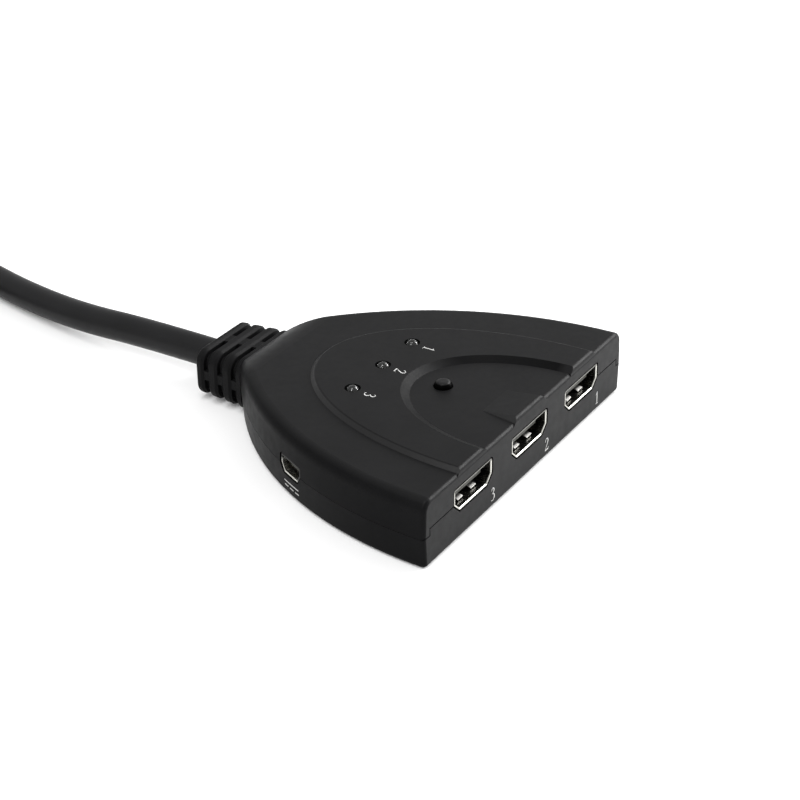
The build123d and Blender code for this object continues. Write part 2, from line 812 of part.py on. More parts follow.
regulator_x, regulator_y = -light_pitch, button_y
with BuildPart() as regulator:
    with BuildSketch(Plane.XY.offset(board_top)):
        with Locations((regulator_x, regulator_y)):
            Rectangle(regulator_length, regulator_width)
    extrude(amount=regulator_height)
    with BuildSketch(Plane.XY.offset(board_top)):
        with Locations((regulator_x, regulator_y + (regulator_width + regulator_tab) / 2)):
            Rectangle(regulator_length / 2, regulator_tab)
    extrude(amount=regulator_tab_thickness)
regulator.part.label = "regulator"

with BuildPart() as capacitors:
    with BuildSketch(Plane.XY.offset(board_top)):
        with Locations((chip_x, chip_y + chip_side), (-chip_x, light_y + small_pitch)):
            with GridLocations(small_pitch, 0, 3, 1):
                Rectangle(small_length, small_width)
    extrude(amount=small_height)
capacitors.part.label = "capacitors"

with BuildPart() as resistors:
    with BuildSketch(Plane.XY.offset(board_top)):
        with Locations((0, light_y + small_pitch)):
            with GridLocations(small_pitch, small_pitch, 3, 2):
                Rectangle(small_length, small_width)
    extrude(amount=resistor_height)
resistors.part.label = "resistors"
exported += [circuit_board, switch_chip, chip_leads, regulator, capacitors, resistors]

# Status lights: a domed body on a flange, held up by its leads
light_top = terrace_top + light_proud
light_base = light_top - light_length
for name, light_x in zip(socket_names, light_xs):
    with BuildPart() as status_light:
        with BuildSketch(Plane.XZ) as light_half:
            with BuildLine():
                radius = light_diameter / 2
                Polyline(
                    (0, light_base), (light_flange_diameter / 2, light_base),
                    (light_flange_diameter / 2, light_base + light_flange),
                    (radius, light_base + light_flange), (radius, light_top - radius),
                )
                RadiusArc((radius, light_top - radius), (0, light_top), -radius)
                Line((0, light_top), (0, light_base))
            make_face()
        revolve(axis=Axis.Z)
    status_light.part.position = (light_x, light_y, 0)
    status_light.part.label = f"status_light_{name}"
    exported.append(status_light)

with BuildPart() as light_leads:
    with BuildSketch(Plane.XY.offset(board_bottom - lead_stub)):
        with Locations(*[(x + side * lead_spread, light_y) for x in light_xs for side in (-1, 1)]):
            Rectangle(lead_thickness, lead_thickness)
    extrude(amount=light_base - board_bottom + lead_stub)
light_leads.part.label = "light_leads"
exported.append(light_leads)

# Push switch: base with a bore, sheet cover, plunger with a foot, and four legs
switch_top = board_top + switch_base_height
plunger_foot_base = board_top + switch_bore_floor + button_travel + switch_cover
button_top = field_top + button_proud
flange_top = ceiling - button_flange_gap
flange_base = flange_top - button_flange
plunger_top = flange_base + button_bore_depth
with BuildPart() as button_switch_base:
    with BuildSketch(Plane.XY.offset(board_top)):
        with Locations((0, button_y)):
            Rectangle(switch_side, switch_side)
    extrude(amount=switch_base_height)
    with BuildSketch(Plane.XY.offset(board_top + switch_bore_floor)):
        with Locations((0, button_y)):
            Circle(plunger_foot_diameter / 2 + plunger_clearance)
    extrude(amount=switch_base_height - switch_bore_floor, mode=Mode.SUBTRACT)
button_switch_base.part.label = "button_switch_base"

with BuildPart() as button_switch_cover:
    with BuildSketch(Plane.XY.offset(switch_top)):
        with Locations((0, button_y)):
            Rectangle(switch_side, switch_side)
            Circle(plunger_diameter / 2 + plunger_clearance, mode=Mode.SUBTRACT)
    extrude(amount=switch_cover)
button_switch_cover.part.label = "button_switch_cover"

with BuildPart() as button_switch_plunger:
    with Locations((0, button_y, plunger_foot_base)):
        Cylinder(
            plunger_foot_diameter / 2, plunger_foot, align=(Align.CENTER, Align.CENTER, Align.MIN)
        )
        Cylinder(
            plunger_diameter / 2, plunger_top - plunger_foot_base,
            align=(Align.CENTER, Align.CENTER, Align.MIN),
        )
button_switch_plunger.part.label = "button_switch_plunger"

with BuildPart() as button_switch_legs:
    with BuildSketch(Plane.XY.offset(board_bottom - switch_leg_stub)):
        with Locations((0, button_y)):
            with GridLocations(switch_side + switch_leg_thickness, 2 * switch_leg_spread, 2, 2):
                Rectangle(switch_leg_thickness, switch_leg_width)
    extrude(amount=board_top - board_bottom + switch_leg_stub + switch_bore_floor)
button_switch_legs.part.label = "button_switch_legs"

# Select button: a domed cap with a flange under the roof, seated on the plunger
with BuildPart() as select_button:
    with Locations((0, button_y, flange_base)):
        Cylinder(
            button_flange_diameter / 2, button_flange, align=(Align.CENTER, Align.CENTER, Align.MIN)
        )
        Cylinder(
            button_diameter / 2, button_top - flange_base,
            align=(Align.CENTER, Align.CENTER, Align.MIN),
        )
    fillet(select_button.edges().group_by(Axis.Z)[-1], button_round)
    with Locations((0, button_y, flange_base)):
        Cylinder(
            plunger_diameter / 2 + plunger_clearance, button_bore_depth,
            align=(Align.CENTER, Align.CENTER, Align.MIN), mode=Mode.SUBTRACT,
        )
select_button.part.label = "select_button"
exported += [
    button_switch_base, button_switch_cover, button_switch_plunger, button_switch_legs, select_button,
]


def relief_section(grow=0.0):
    """Draws the relief's end section, moved out."""
    RectangleRounded(relief_end_width + 2 * grow, relief_end_height + 2 * grow, relief_corner + grow)


# Strain relief: rings with three rows of slots between them, and a neck and flange in the housing
relief_row_ys = [relief_end - relief_slot_first - row * relief_slot_pitch for row in range(relief_rows)]
relief_stations = [(relief_end, 0)]
for row_y in relief_row_ys:
    relief_stations += [
        (row_y + relief_groove_half, 0), (row_y + relief_slot / 2, relief_groove_depth),
        (row_y - relief_slot / 2, relief_groove_depth), (row_y - relief_groove_half, 0),
    ]
relief_stations.append((back, 0))
with BuildPart() as strain_relief:
    for station_y, sink in relief_stations:
        with BuildSketch(face_plane(station_y, relief_centre)):
            relief_section(relief_flare_share * (relief_end - station_y) - sink)
    loft(ruled=True)
    fillet(strain_relief.faces().sort_by(Axis.Y)[-1].edges(), relief_end_round)
    for row_y in relief_row_ys:
        with BuildSketch(face_plane(row_y + relief_slot / 2, relief_centre)):
            relief_section(relief_slot_depth)
            relief_section(relief_flare_share * (relief_end - row_y) - relief_slot_depth)
            with BuildSketch(mode=Mode.PRIVATE) as inside:
                relief_section(relief_flare_share * (relief_end - row_y) - relief_slot_depth)
            add(inside.sketch, mode=Mode.SUBTRACT)
            Rectangle(relief_top_bridge, 2 * relief_end_height, mode=Mode.SUBTRACT)
            Rectangle(2 * relief_end_width, relief_side_bridge, mode=Mode.SUBTRACT)
        extrude(amount=relief_slot, mode=Mode.SUBTRACT)
    neck_width_free = relief_neck_width - 2 * relief_neck_clearance
    neck_height_free = relief_neck_height - 2 * relief_neck_clearance
    with BuildSketch(face_plane(back, relief_centre)):
        RectangleRounded(neck_width_free, neck_height_free, relief_corner - relief_neck_clearance)
    extrude(amount=back_wall)
    flange_face = back - back_wall - relief_neck_clearance
    with BuildSketch(face_plane(flange_face, relief_centre)):
        RectangleRounded(
            relief_neck_width + 2 * relief_flange_rim, relief_neck_height + 2 * relief_flange_rim_height,
            relief_corner,
        )
    extrude(amount=relief_flange)
    with BuildSketch(face_plane(back - back_wall, relief_centre)):
        RectangleRounded(neck_width_free, neck_height_free, relief_corner - relief_neck_clearance)
    extrude(amount=relief_neck_clearance)
    with BuildSketch(face_plane(relief_end, relief_centre)):
        Circle(cable_diameter / 2 + cable_bore_clearance)
    extrude(amount=relief_length + back_wall + relief_flange + overrun, mode=Mode.SUBTRACT)
strain_relief.part.label = "strain_relief"

# End of the lead inside the relief, and its wires, fanned out to the board's edge
jacket_end = back - back_wall - relief_neck_clearance - relief_flange - cable_end_stub
with BuildPart() as cable_end:
    with BuildSketch(face_plane(relief_end, relief_centre)):
        Circle(cable_diameter / 2)
    extrude(amount=relief_end - jacket_end)
cable_end.part.label = "cable_end"

with BuildPart() as cable_wires:
    pad_height = board_top + wire_diameter / 2 + wire_board_gap
    board_edge = back - board_back_margin
    for i in range(wire_count):
        spread = i - (wire_count - 1) / 2
        angle = pi * (i + 1 / 2) / wire_count
        start = Vector(-wire_ring * cos(angle), jacket_end, relief_centre + wire_ring * sin(angle) / 2)
        pad = Vector(spread * wire_pad_pitch, board_edge - wire_reach, pad_height)
        with BuildLine() as wire_path:
            FilletPolyline(
                start, start - Vector(0, wire_start, 0), pad + Vector(0, wire_landing, 0), pad,
                radius=wire_bend,
            )
        with BuildSketch(Plane(origin=start, z_dir=(0, -1, 0))):
            Circle(wire_diameter / 2)
        sweep(path=wire_path.line)
cable_wires.part.label = "cable_wires"
exported += [strain_relief, cable_end, cable_wires]

# Free stretch of the lead: out of the relief, down to the table and away to the coil
lay = cable_diameter / 2 + cable_floor_gap
cable_route = [
    (0.0, relief_end, relief_centre),
    (0.0, relief_end + 21.0, relief_centre),
    (1.5, relief_end + 43.5, lay),
    (6.0, relief_end + 65.0, lay),
    (10.5, relief_end + 82.0, lay),
    (12.0, relief_end + 98.0, lay),
]


def turn_radii(points):
    """The radius of the arc at each inner point, as large as its two runs allow."""
    radii = []
    for before, here, after in zip(points, points[1:], points[2:]):
        run_in, run_out = Vector(here) - Vector(before), Vector(after) - Vector(here)
        half = radians(run_in.get_angle(run_out)) / 2
        radii.append(cable_turn_share * min(run_in.length, run_out.length) / tan(half))
    return radii


cable_radii = turn_radii(cable_route)
with BuildPart() as output_cable:
    with BuildLine() as cable_path:
        FilletPolyline(*cable_route, radius=cable_radii)
    with BuildSketch(Plane(origin=cable_route[0], z_dir=(0, 1, 0))):
        Circle(cable_diameter / 2)
    sweep(path=cable_path.line)
output_cable.part.label = "output_cable"

# Coil: the lead winds inwards on the table, then climbs onto its first turn, where the plug lies
coil_step = cable_diameter + coil_gap
coil_rise = cable_diameter + plug_rest_gap + plug_body_height / 2 - cable_diameter / 2
climb_start = 1.0
lead_end = Vector(cable_route[-1])
lead_heading = (lead_end - Vector(cable_route[-2])).normalized()
coil_start = lead_end + lead_heading * cable_diameter
drift = atan2(coil_step, 2 * pi * coil_radius)
start_angle = atan2(lead_heading.Y, lead_heading.X) - pi / 2 - drift
coil_centre = coil_start - Vector(cos(start_angle), sin(start_angle), 0) * coil_radius


def coil_point(turn):
    """The coil's centre line after a number of turns."""
    angle = start_angle + 2 * pi * turn
    radius = coil_radius - coil_step * turn
    share = max(0, turn - climb_start) / (coil_turns - climb_start)
    height = coil_rise * share**2 * (3 - 2 * share)
    return coil_centre + Vector(radius * cos(angle), radius * sin(angle), height)


def coil_heading(turn):
    """The direction of the coil's centre line after a number of turns."""
    angle = start_angle + 2 * pi * turn
    radius = coil_radius - coil_step * turn
    share = max(0, turn - climb_start) / (coil_turns - climb_start)
    climb = 6 * coil_rise * share * (1 - share) / (coil_turns - climb_start)
    across = Vector(-sin(angle), cos(angle), 0) * (2 * pi * radius)
    return (across - Vector(cos(angle), sin(angle), 0) * coil_step + Vector(0, 0, climb)).normalized()


def biarc(start, start_heading, end, end_heading):
    """Draws two tangent arcs from one point and heading to another."""
    chord = end - start
    both = start_heading + end_heading
    a = 2 * (1 - start_heading.dot(end_heading))
    b = chord.dot(both)
    reach = (sqrt(b**2 + a * chord.dot(chord)) - b) / a
    joint = (start + start_heading * reach + end - end_heading * reach) / 2
    first = TangentArc(start, joint, tangent=start_heading)
    TangentArc(joint, end, tangent=first % 1)


coil_steps = round(coil_turns * coil_arcs_per_turn)
with BuildPart() as output_cable_coil:
    with BuildLine() as coil_path:
        Line(lead_end, coil_start)
        for i in range(coil_steps):
            turns = i / coil_arcs_per_turn, (i + 1) / coil_arcs_per_turn
            biarc(
                coil_point(turns[0]), coil_heading(turns[0]), coil_point(turns[1]), coil_heading(turns[1])
            )
        coil_end = coil_point(coil_turns)
        plug_heading = coil_heading(coil_turns)
        plug_start = coil_end + plug_heading * cable_diameter
        Line(coil_end, plug_start)
    with BuildSketch(Plane(origin=lead_end, z_dir=lead_heading)):
        Circle(cable_diameter / 2)
    sweep(path=coil_path.line)
output_cable_coil.part.label = "output_cable_coil"
exported += [output_cable, output_cable_coil]


def plug_plane(distance):
    """A plane square to the plug's axis, at a distance from the end of its lead."""
    side = plug_heading.cross(Vector(0, 0, 1))
    return Plane(origin=plug_start + plug_heading * distance, x_dir=side, z_dir=plug_heading)


def plug_opening(grow=0.0):
    """Draws the plug shell's outline, wide side up, moved out."""
    side, half = plug_shell_width / 2, plug_shell_height / 2
    foot = side - plug_shell_chamfer_width
    knee = plug_shell_chamfer_height - half
    with BuildLine() as outline:
        Polyline((-side, half), (side, half), (side, knee), (foot, -half), (-foot, -half), (-side, knee), close=True)
    make_face(outline.line.edges())
    if grow:
        offset(amount=grow)


# Plug: ribbed relief, moulded body with grip ridges, metal shell and insulator with contacts
with BuildPart() as plug_relief:
    with BuildSketch(plug_plane(0)):
        Circle(plug_relief_diameter / 2)
    with BuildSketch(plug_plane(plug_relief_length)):
        Circle(plug_relief_base / 2)
    loft(ruled=True)
    for row in range(plug_relief_rows):
        with BuildSketch(plug_plane(plug_relief_first + row * plug_relief_pitch)):
            Circle(plug_relief_base)
            Circle(plug_relief_diameter / 2 - plug_relief_slot_depth, mode=Mode.SUBTRACT)
            Rectangle(plug_relief_slot, 2 * plug_relief_base, mode=Mode.SUBTRACT)
            Rectangle(2 * plug_relief_base, plug_relief_slot, mode=Mode.SUBTRACT)
        extrude(amount=plug_relief_slot, mode=Mode.SUBTRACT)
plug_relief.part.label = "plug_relief"

plug_front = plug_relief_length + plug_body_length
with BuildPart() as plug_body:
    with BuildSketch(plug_plane(plug_relief_length)):
        RectangleRounded(plug_shoulder_width, plug_body_height, plug_body_corner)
    with BuildSketch(plug_plane(plug_relief_length + plug_shoulder_length)):
        RectangleRounded(plug_body_width, plug_body_height, plug_body_corner)
    loft(ruled=True)
    with BuildSketch(plug_plane(plug_relief_length + plug_shoulder_length)):
        RectangleRounded(plug_body_width, plug_body_height, plug_body_corner)
    extrude(amount=plug_body_length - plug_shoulder_length)
    fillet(plug_body.faces().sort_by(Axis(plug_start, plug_heading))[-1].edges(), plug_face_round)
    for i in range(plug_grip_count):
        grip = plug_relief_length + plug_shoulder_length + plug_grip_pitch * (i + 1)
        with BuildSketch(plug_plane(grip)):
            with GridLocations(plug_body_width, 0, 2, 1):
                Rectangle(2 * plug_grip_depth, plug_body_height - 2 * plug_body_corner)
        extrude(amount=plug_grip_width, mode=Mode.SUBTRACT)
plug_body.part.label = "plug_body"

with BuildPart() as plug_shell:
    with BuildSketch(plug_plane(plug_front)):
        plug_opening()
    extrude(amount=plug_shell_length)
    with BuildSketch(plug_plane(plug_front)):
        plug_opening(-plug_shell_wall)
    extrude(amount=plug_shell_length, mode=Mode.SUBTRACT)
plug_shell.part.label = "plug_shell"

core_length = plug_shell_length - plug_core_setback
with BuildPart() as plug_core:
    with BuildSketch(plug_plane(plug_front)):
        plug_opening(-plug_shell_wall - core_clearance)
    extrude(amount=core_length)
    with BuildSketch(plug_plane(plug_front + core_length - plug_slot_depth)):
        with Locations((0, tongue_rise)):
            Rectangle(plug_slot_width, plug_slot_height)
    extrude(amount=plug_slot_depth, mode=Mode.SUBTRACT)
plug_core.part.label = "plug_core"

with BuildPart() as plug_contacts:
    with BuildSketch(plug_plane(plug_front + core_length - plug_slot_depth)):
        for row, count in ((1, upper_contacts), (-1, lower_contacts)):
            height = tongue_rise + row * (plug_slot_height - plug_contact_thickness) / 2
            with Locations((0, height)):
                with GridLocations(plug_contact_pitch, 0, count, 1):
                    Rectangle(plug_contact_width, plug_contact_thickness)
    extrude(amount=plug_slot_depth - plug_core_setback)
plug_contacts.part.label = "plug_contacts"
exported += [plug_relief, plug_body, plug_shell, plug_core, plug_contacts]

os.makedirs("parts", exist_ok=True)
for piece in exported:
    export_step(piece.part, f"parts/{piece.part.label}.step")

# What the lead's solids measure
section = pi * cable_diameter**2 / 4
sample_count = 240
samples = [coil_path.wire().position_at(i / sample_count) for i in range(sample_count + 1)]
apart = round(sample_count / coil_turns / 4)
least = min(
    (here - there).length for i, here in enumerate(samples) for there in samples[i + apart:]
)
lengths = cable_path.wire().length, coil_path.wire().length
print("turn radii", [round(r, 1) for r in cable_radii])
print("free stretch and coil", [round(length, 1) for length in lengths])
print("volume over section times length", [
    round(piece.part.volume / (section * length), 4)
    for piece, length in zip((output_cable, output_cable_coil), lengths)
])
print("least gap of the coil to itself", round(least - cable_diameter, 2))
print("size", round(body_width, 2), round(overall_depth, 2), round(terrace_top, 2))
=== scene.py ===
"""Looks of the video switch box: finishes, printed numbers, lights, lead and studio round its solids."""

import logging
import math
from dataclasses import dataclass, field
from enum import Enum
from typing import Callable, Sequence

import bpy
from mathutils import Matrix, Vector


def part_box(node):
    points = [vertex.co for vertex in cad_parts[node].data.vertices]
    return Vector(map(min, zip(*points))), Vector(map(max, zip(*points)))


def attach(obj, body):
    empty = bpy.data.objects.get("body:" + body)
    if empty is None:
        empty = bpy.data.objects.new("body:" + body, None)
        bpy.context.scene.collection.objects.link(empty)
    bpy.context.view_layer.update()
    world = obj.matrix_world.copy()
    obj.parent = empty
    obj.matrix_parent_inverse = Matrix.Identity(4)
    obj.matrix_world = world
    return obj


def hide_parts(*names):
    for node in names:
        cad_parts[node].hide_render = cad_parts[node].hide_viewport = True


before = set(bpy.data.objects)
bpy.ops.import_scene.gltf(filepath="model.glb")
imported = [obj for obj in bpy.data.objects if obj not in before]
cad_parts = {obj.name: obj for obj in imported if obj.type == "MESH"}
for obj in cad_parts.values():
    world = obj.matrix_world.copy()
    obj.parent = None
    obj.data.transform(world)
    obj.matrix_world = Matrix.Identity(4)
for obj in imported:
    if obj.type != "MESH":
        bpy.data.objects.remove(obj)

LOG = logging.getLogger("switch_box")
MM = 0.001
BOX = "box"
SHARP_ANGLE = math.radians(28)
NOISE_RANGE = (0.3, 0.7)
SQUARE = ((-1, -1), (1, -1), (1, 1), (-1, 1))
BLOCK_FACES = ((3, 2, 1, 0), (4, 5, 6, 7), (0, 1, 5, 4), (1, 2, 6, 5), (2, 3, 7, 6), (3, 0, 4, 7))
Triple = tuple[float, float, float]
Colour = Triple
Socket = bpy.types.NodeSocket
Placing = Callable[[float, float, float], Vector]


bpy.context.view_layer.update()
BUTTON_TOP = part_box("select_button")[1].z
SOCKET_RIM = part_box("input_socket_shell_1")[0].y
SOCKET_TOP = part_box("input_socket_shell_1")[1].z


def shade(colour: Colour, share: float) -> Colour:
    """Scales a colour."""
    return tuple(c * share for c in colour)


class Detail(Enum):
    """How many octaves a noise pattern has."""

    SMOOTH = 1
    EVEN = 2
    FINE = 3
    ROUGH = 4


@dataclass(frozen=True)
class Fade:
    """A value that changes once along an axis, from low up to the start to high from the end on.

    One that dulls takes the metal's shine away with its colour.
    """

    axis: str
    start: float
    end: float
    low: float = 0.0
    high: float = 1.0
    dulls: bool = False


class Graph:
    """A material's node tree, with short calls for the nodes that the finishes share."""

    def __init__(self, name: str) -> None:
        """Makes an empty material with a Principled shader.

        Args:
            name: The material's name.
        """
        self.material = bpy.data.materials.new(name)
        self.material.use_nodes = True
        self.tree = self.material.node_tree
        self.shader = self.tree.nodes["Principled BSDF"]
        self.output = self.tree.nodes["Material Output"]
        self.place = self.tree.nodes.new("ShaderNodeTexCoord")

    def add(self, kind: str, **values: object) -> bpy.types.Node:
        """Adds a node and sets its plain properties.

        Args:
            kind: The node's type name.
            values: Properties of the node.

        Returns:
            The new node.
        """
        node = self.tree.nodes.new(kind)
        for key, value in values.items():
            setattr(node, key, value)
        return node

    def join(self, out: Socket, into: Socket) -> None:
        """Links one socket to another."""
        self.tree.links.new(out, into)

    def feed(self, name: str, out: Socket) -> None:
        """Links a value to one of the shader's own sockets."""
        self.join(out, self.shader.inputs[name])

    def plain(self, **values: object) -> None:
        """Sets the shader's own sockets, named with underscores for spaces."""
        for key, value in values.items():
            self.shader.inputs[key.replace("_", " ")].default_value = value

    def noise(self, size: float, detail: Detail, stretch: Triple = (1, 1, 1)) -> Socket:
        """Adds a noise pattern in the object's own space.

        Args:
            size: The pattern's grain in metres.
            detail: Its number of octaves.
            stretch: How much finer the grain is along each axis.

        Returns:
            The noise value, from 0 to 1.
        """
        mapping = self.add("ShaderNodeMapping")
        mapping.inputs["Scale"].default_value = stretch
        self.join(self.place.outputs["Object"], mapping.inputs["Vector"])
        noise = self.add("ShaderNodeTexNoise")
        noise.inputs["Scale"].default_value = 1 / size
        noise.inputs["Detail"].default_value = detail.value
        self.join(mapping.outputs["Vector"], noise.inputs["Vector"])
        return noise.outputs["Fac"]

    def ramp(self, value: Socket, stops: Sequence[tuple[float, Colour]], stepped: bool = False) -> Socket:
        """Turns a value into a colour.

        Args:
            value: The socket that drives the ramp.
            stops: Position and colour of each stop.
            stepped: Whether the colours change in steps.

        Returns:
            The colour socket.
        """
        node = self.add("ShaderNodeValToRGB")
        band = node.color_ramp
        band.interpolation = "CONSTANT" if stepped else "LINEAR"
        while len(band.elements) < len(stops):
            band.elements.new(1.0)
        for element, (position, colour) in zip(band.elements, stops):
            element.position = position
            element.color = (*colour, 1)
        self.join(value, node.inputs["Fac"])
        return node.outputs["Color"]

    def mottle(self, size: float, detail: Detail, ends: tuple[Colour, Colour],
               stops: tuple[float, float] = NOISE_RANGE) -> Socket:
        """Adds a noise pattern that goes from one colour to another.

        Args:
            size: The pattern's grain in metres.
            detail: Its number of octaves.
            ends: The colours of the lowest and the highest noise.
            stops: The noise values where the change of colour starts and ends.

        Returns:
            The colour socket.
        """
        return self.ramp(self.noise(size, detail), list(zip(stops, ends)))

    def spread(self, value: Socket, low: float, high: float) -> Socket:
        """Spreads a noise value over a range.

        Args:
            value: A noise value.
            low: What the lowest noise gives.
            high: What the highest noise gives.

        Returns:
            The new value.
        """
        node = self.add("ShaderNodeMapRange")
        node.inputs["From Min"].default_value = NOISE_RANGE[0]
        node.inputs["From Max"].default_value = NOISE_RANGE[1]
        node.inputs["To Min"].default_value = low
        node.inputs["To Max"].default_value = high
        self.join(value, node.inputs["Value"])
        return node.outputs["Result"]

    def fade(self, fade: Fade, vector: Socket | None = None) -> Socket:
        """Adds a fade.

        Args:
            fade: What changes and where.
            vector: The vector that it reads, or None for the place in the object's own space.

        Returns:
            The value socket.
        """
        parts = self.add("ShaderNodeSeparateXYZ")
        self.join(vector or self.place.outputs["Object"], parts.inputs["Vector"])
        node = self.add("ShaderNodeMapRange")
        node.inputs["From Min"].default_value = fade.start
        node.inputs["From Max"].default_value = fade.end
        node.inputs["To Min"].default_value = fade.low
        node.inputs["To Max"].default_value = fade.high
        self.join(parts.outputs[fade.axis], node.inputs["Value"])
        return node.outputs["Result"]

    def maths(self, operation: str, first: Socket, second: Socket | float) -> Socket:
        """Works one value out from two.

        Args:
            operation: The Math node's operation.
            first: The first value.
            second: The second value, as a socket or a plain number.

        Returns:
            The value socket.
        """
        node = self.add("ShaderNodeMath", operation=operation)
        self.join(first, node.inputs[0])
        if isinstance(second, float):
            node.inputs[1].default_value = second
        else:
            self.join(second, node.inputs[1])
        return node.outputs["Value"]

    def product(self, first: Socket, *others: Socket) -> Socket:
        """Multiplies values.

        Args:
            first: The first value.
            others: The values that it is multiplied by, one after another.

        Returns:
            The value socket.
        """
        for other in others:
            first = self.maths("MULTIPLY", first, other)
        return first

    def blend(self, share: Socket, low: float, high: float) -> Socket:
        """Goes from a low value to a high one as a share goes from 0 to 1.

        Args:
            share: The share.
            low: The value at 0.
            high: The value at 1.

        Returns:
            The value socket.
        """
        node = self.add("ShaderNodeMath", operation="MULTIPLY_ADD")
        self.join(share, node.inputs[0])
        node.inputs[1].default_value = high - low
        node.inputs[2].default_value = low
        return node.outputs["Value"]

    def tint(self, colour: Socket, share: Socket) -> Socket:
        """Scales a colour.

        Args:
            colour: The colour.
            share: The value that scales it.

        Returns:
            The colour socket.
        """
        node = self.add("ShaderNodeVectorMath", operation="SCALE")
        self.join(colour, node.inputs["Vector"])
        self.join(share, node.inputs["Scale"])
        return node.outputs["Vector"]

    def blacken(self, share: Socket) -> None:
        """Scales the metal share of the surface, on top of what scales it already.

        Args:
            share: The value that scales it.
        """
        metal = self.shader.inputs["Metallic"]
        if metal.is_linked:
            share = self.product(metal.links[0].from_socket, share)
        self.join(share, metal)

    def relief(self, height: Socket, depth: float) -> None:
        """Adds a bump to the surface.

        Args:
            height: The height pattern, from 0 to 1.
            depth: Its depth in metres.
        """
        bump = self.add("ShaderNodeBump")
        bump.inputs["Strength"].default_value = 1.0
        bump.inputs["Distance"].default_value = depth
        self.join(height, bump.inputs["Height"])
        self.feed("Normal", bump.outputs["Normal"])


@dataclass(frozen=True)
class WallPaintedLight:
    """Painted light and shade on the housing's steep faces, through a gloss and tone that differ from its
    flat ones'.

    The first four fades read the way that a face looks, and the others read its place.
    """

    steep: Fade = Fade("Z", 0.72, 0.94, low=1.0, high=0.0)
    sloping: Fade = Fade("Z", 0.9, 0.98, low=1.0, high=0.0)
    leftward: Fade = Fade("X", -0.25, -0.05, low=1.0, high=0.0)
    frontward: Fade = Fade("Y", -0.25, -0.05, low=1.0, high=0.0)
    left_half: Fade = Fade("X", -3.0 * MM, -1.0 * MM, low=1.0, high=0.0)
    behind_front: Fade = Fade("Y", -38.0 * MM, -36.0 * MM)
    field_side: Fade = Fade("X", 5.0 * MM, 11.0 * MM)
    field_head_painted_light: Fade = Fade("X", -6.0 * MM, 5.0 * MM, low=-0.4, high=0.3)
    field_specular: float = 0.03
    field_painted_shade: float = 0.58
    step_level: float = 15.0 * MM
    step_rise: float = 0.3 * MM
    step_specular: float = 0.3
    wall_specular: float = 0.032

    def apply(self, graph: Graph, specular: float) -> Socket:
        """Links the painted light and shade: a painted highlight on the steps, painted shade low on the
        left wall and on the sunk field's far wall, and painted light and shade along the field's head
        wall.

        Args:
            graph: The material's graph.
            specular: The gloss of the flat faces.

        Returns:
            The share of its colour that each face keeps.
        """
        facing = graph.add("ShaderNodeNewGeometry").outputs["Normal"]
        steep, sloping, leftward, frontward = (
            graph.fade(fade, facing) for fade in (self.steep, self.sloping, self.leftward, self.frontward)
        )
        behind_front = graph.fade(self.behind_front)
        level = Fade(
            "Z", self.step_level, self.step_level + self.step_rise,
            low=self.wall_specular - specular, high=self.step_specular - specular,
        )
        # The wall on the left: painted shade low down, a painted highlight on the steps above.
        left = graph.product(steep, leftward, graph.fade(self.left_half), graph.fade(level))
        inward = graph.maths("MAXIMUM", leftward, frontward)
        # The sunk field's far wall: painted shade, in a darker tone and a lower gloss.
        side = graph.product(sloping, inward, behind_front, graph.fade(self.field_side))
        gloss = graph.maths("ADD", left, graph.blend(side, specular, self.field_specular))
        # The field's head wall: painted shade on the left, painted light on the right.
        head = graph.product(sloping, frontward, behind_front, graph.fade(self.field_head_painted_light))
        painted_gain = graph.maths("ADD", head, 1.0)
        graph.feed("Specular IOR Level", graph.product(gloss, painted_gain))
        return graph.product(graph.blend(side, 1.0, self.field_painted_shade), painted_gain)


@dataclass(frozen=True)
class MouldedFinish:
    """Plastic or rubber from a mould: a fine spark grain, faint flow in the colour and a sheen, with
    painted light and shade where a fade or wall light is given.
    """

    name: str
    slot: str
    colour: Colour
    roughness: float
    grain: float
    depth: float = 0.012 * MM
    specular: float = 0.5
    flow: float = 0.12
    flow_size: float = 9.0 * MM
    flow_stops: tuple[float, float] = (0.32, 0.68)
    patch_size: float = 2.2 * MM
    unevenness: float = 0.04
    fade: Fade | None = None
    painted_wall_light: WallPaintedLight | None = None

    def material(self) -> bpy.types.Material:
        """Builds the finish's nodes.

        Returns:
            The new material.
        """
        graph = Graph(self.name)
        ends = (shade(self.colour, 1 - self.flow), shade(self.colour, 1 + self.flow))
        tone = graph.mottle(self.flow_size, Detail.FINE, ends, self.flow_stops)
        graph.plain(Specular_IOR_Level=self.specular)
        # A fade scales the colour and the gloss by place: painted shade where it is given.
        if self.fade:
            share = graph.fade(self.fade)
            tone = graph.tint(tone, share)
            graph.feed("Specular IOR Level", graph.maths("MULTIPLY", share, self.specular))
        # Painted light and shade on the colour and the gloss, by how each face slopes and where it stands.
        if self.painted_wall_light:
            tone = graph.tint(tone, self.painted_wall_light.apply(graph, self.specular))
        graph.feed("Base Color", tone)
        patches = graph.noise(self.patch_size, Detail.ROUGH)
        low, high = self.roughness - self.unevenness, self.roughness + self.unevenness
        graph.feed("Roughness", graph.spread(patches, low, high))
        graph.relief(graph.noise(self.grain, Detail.FINE), self.depth)
        return graph.material


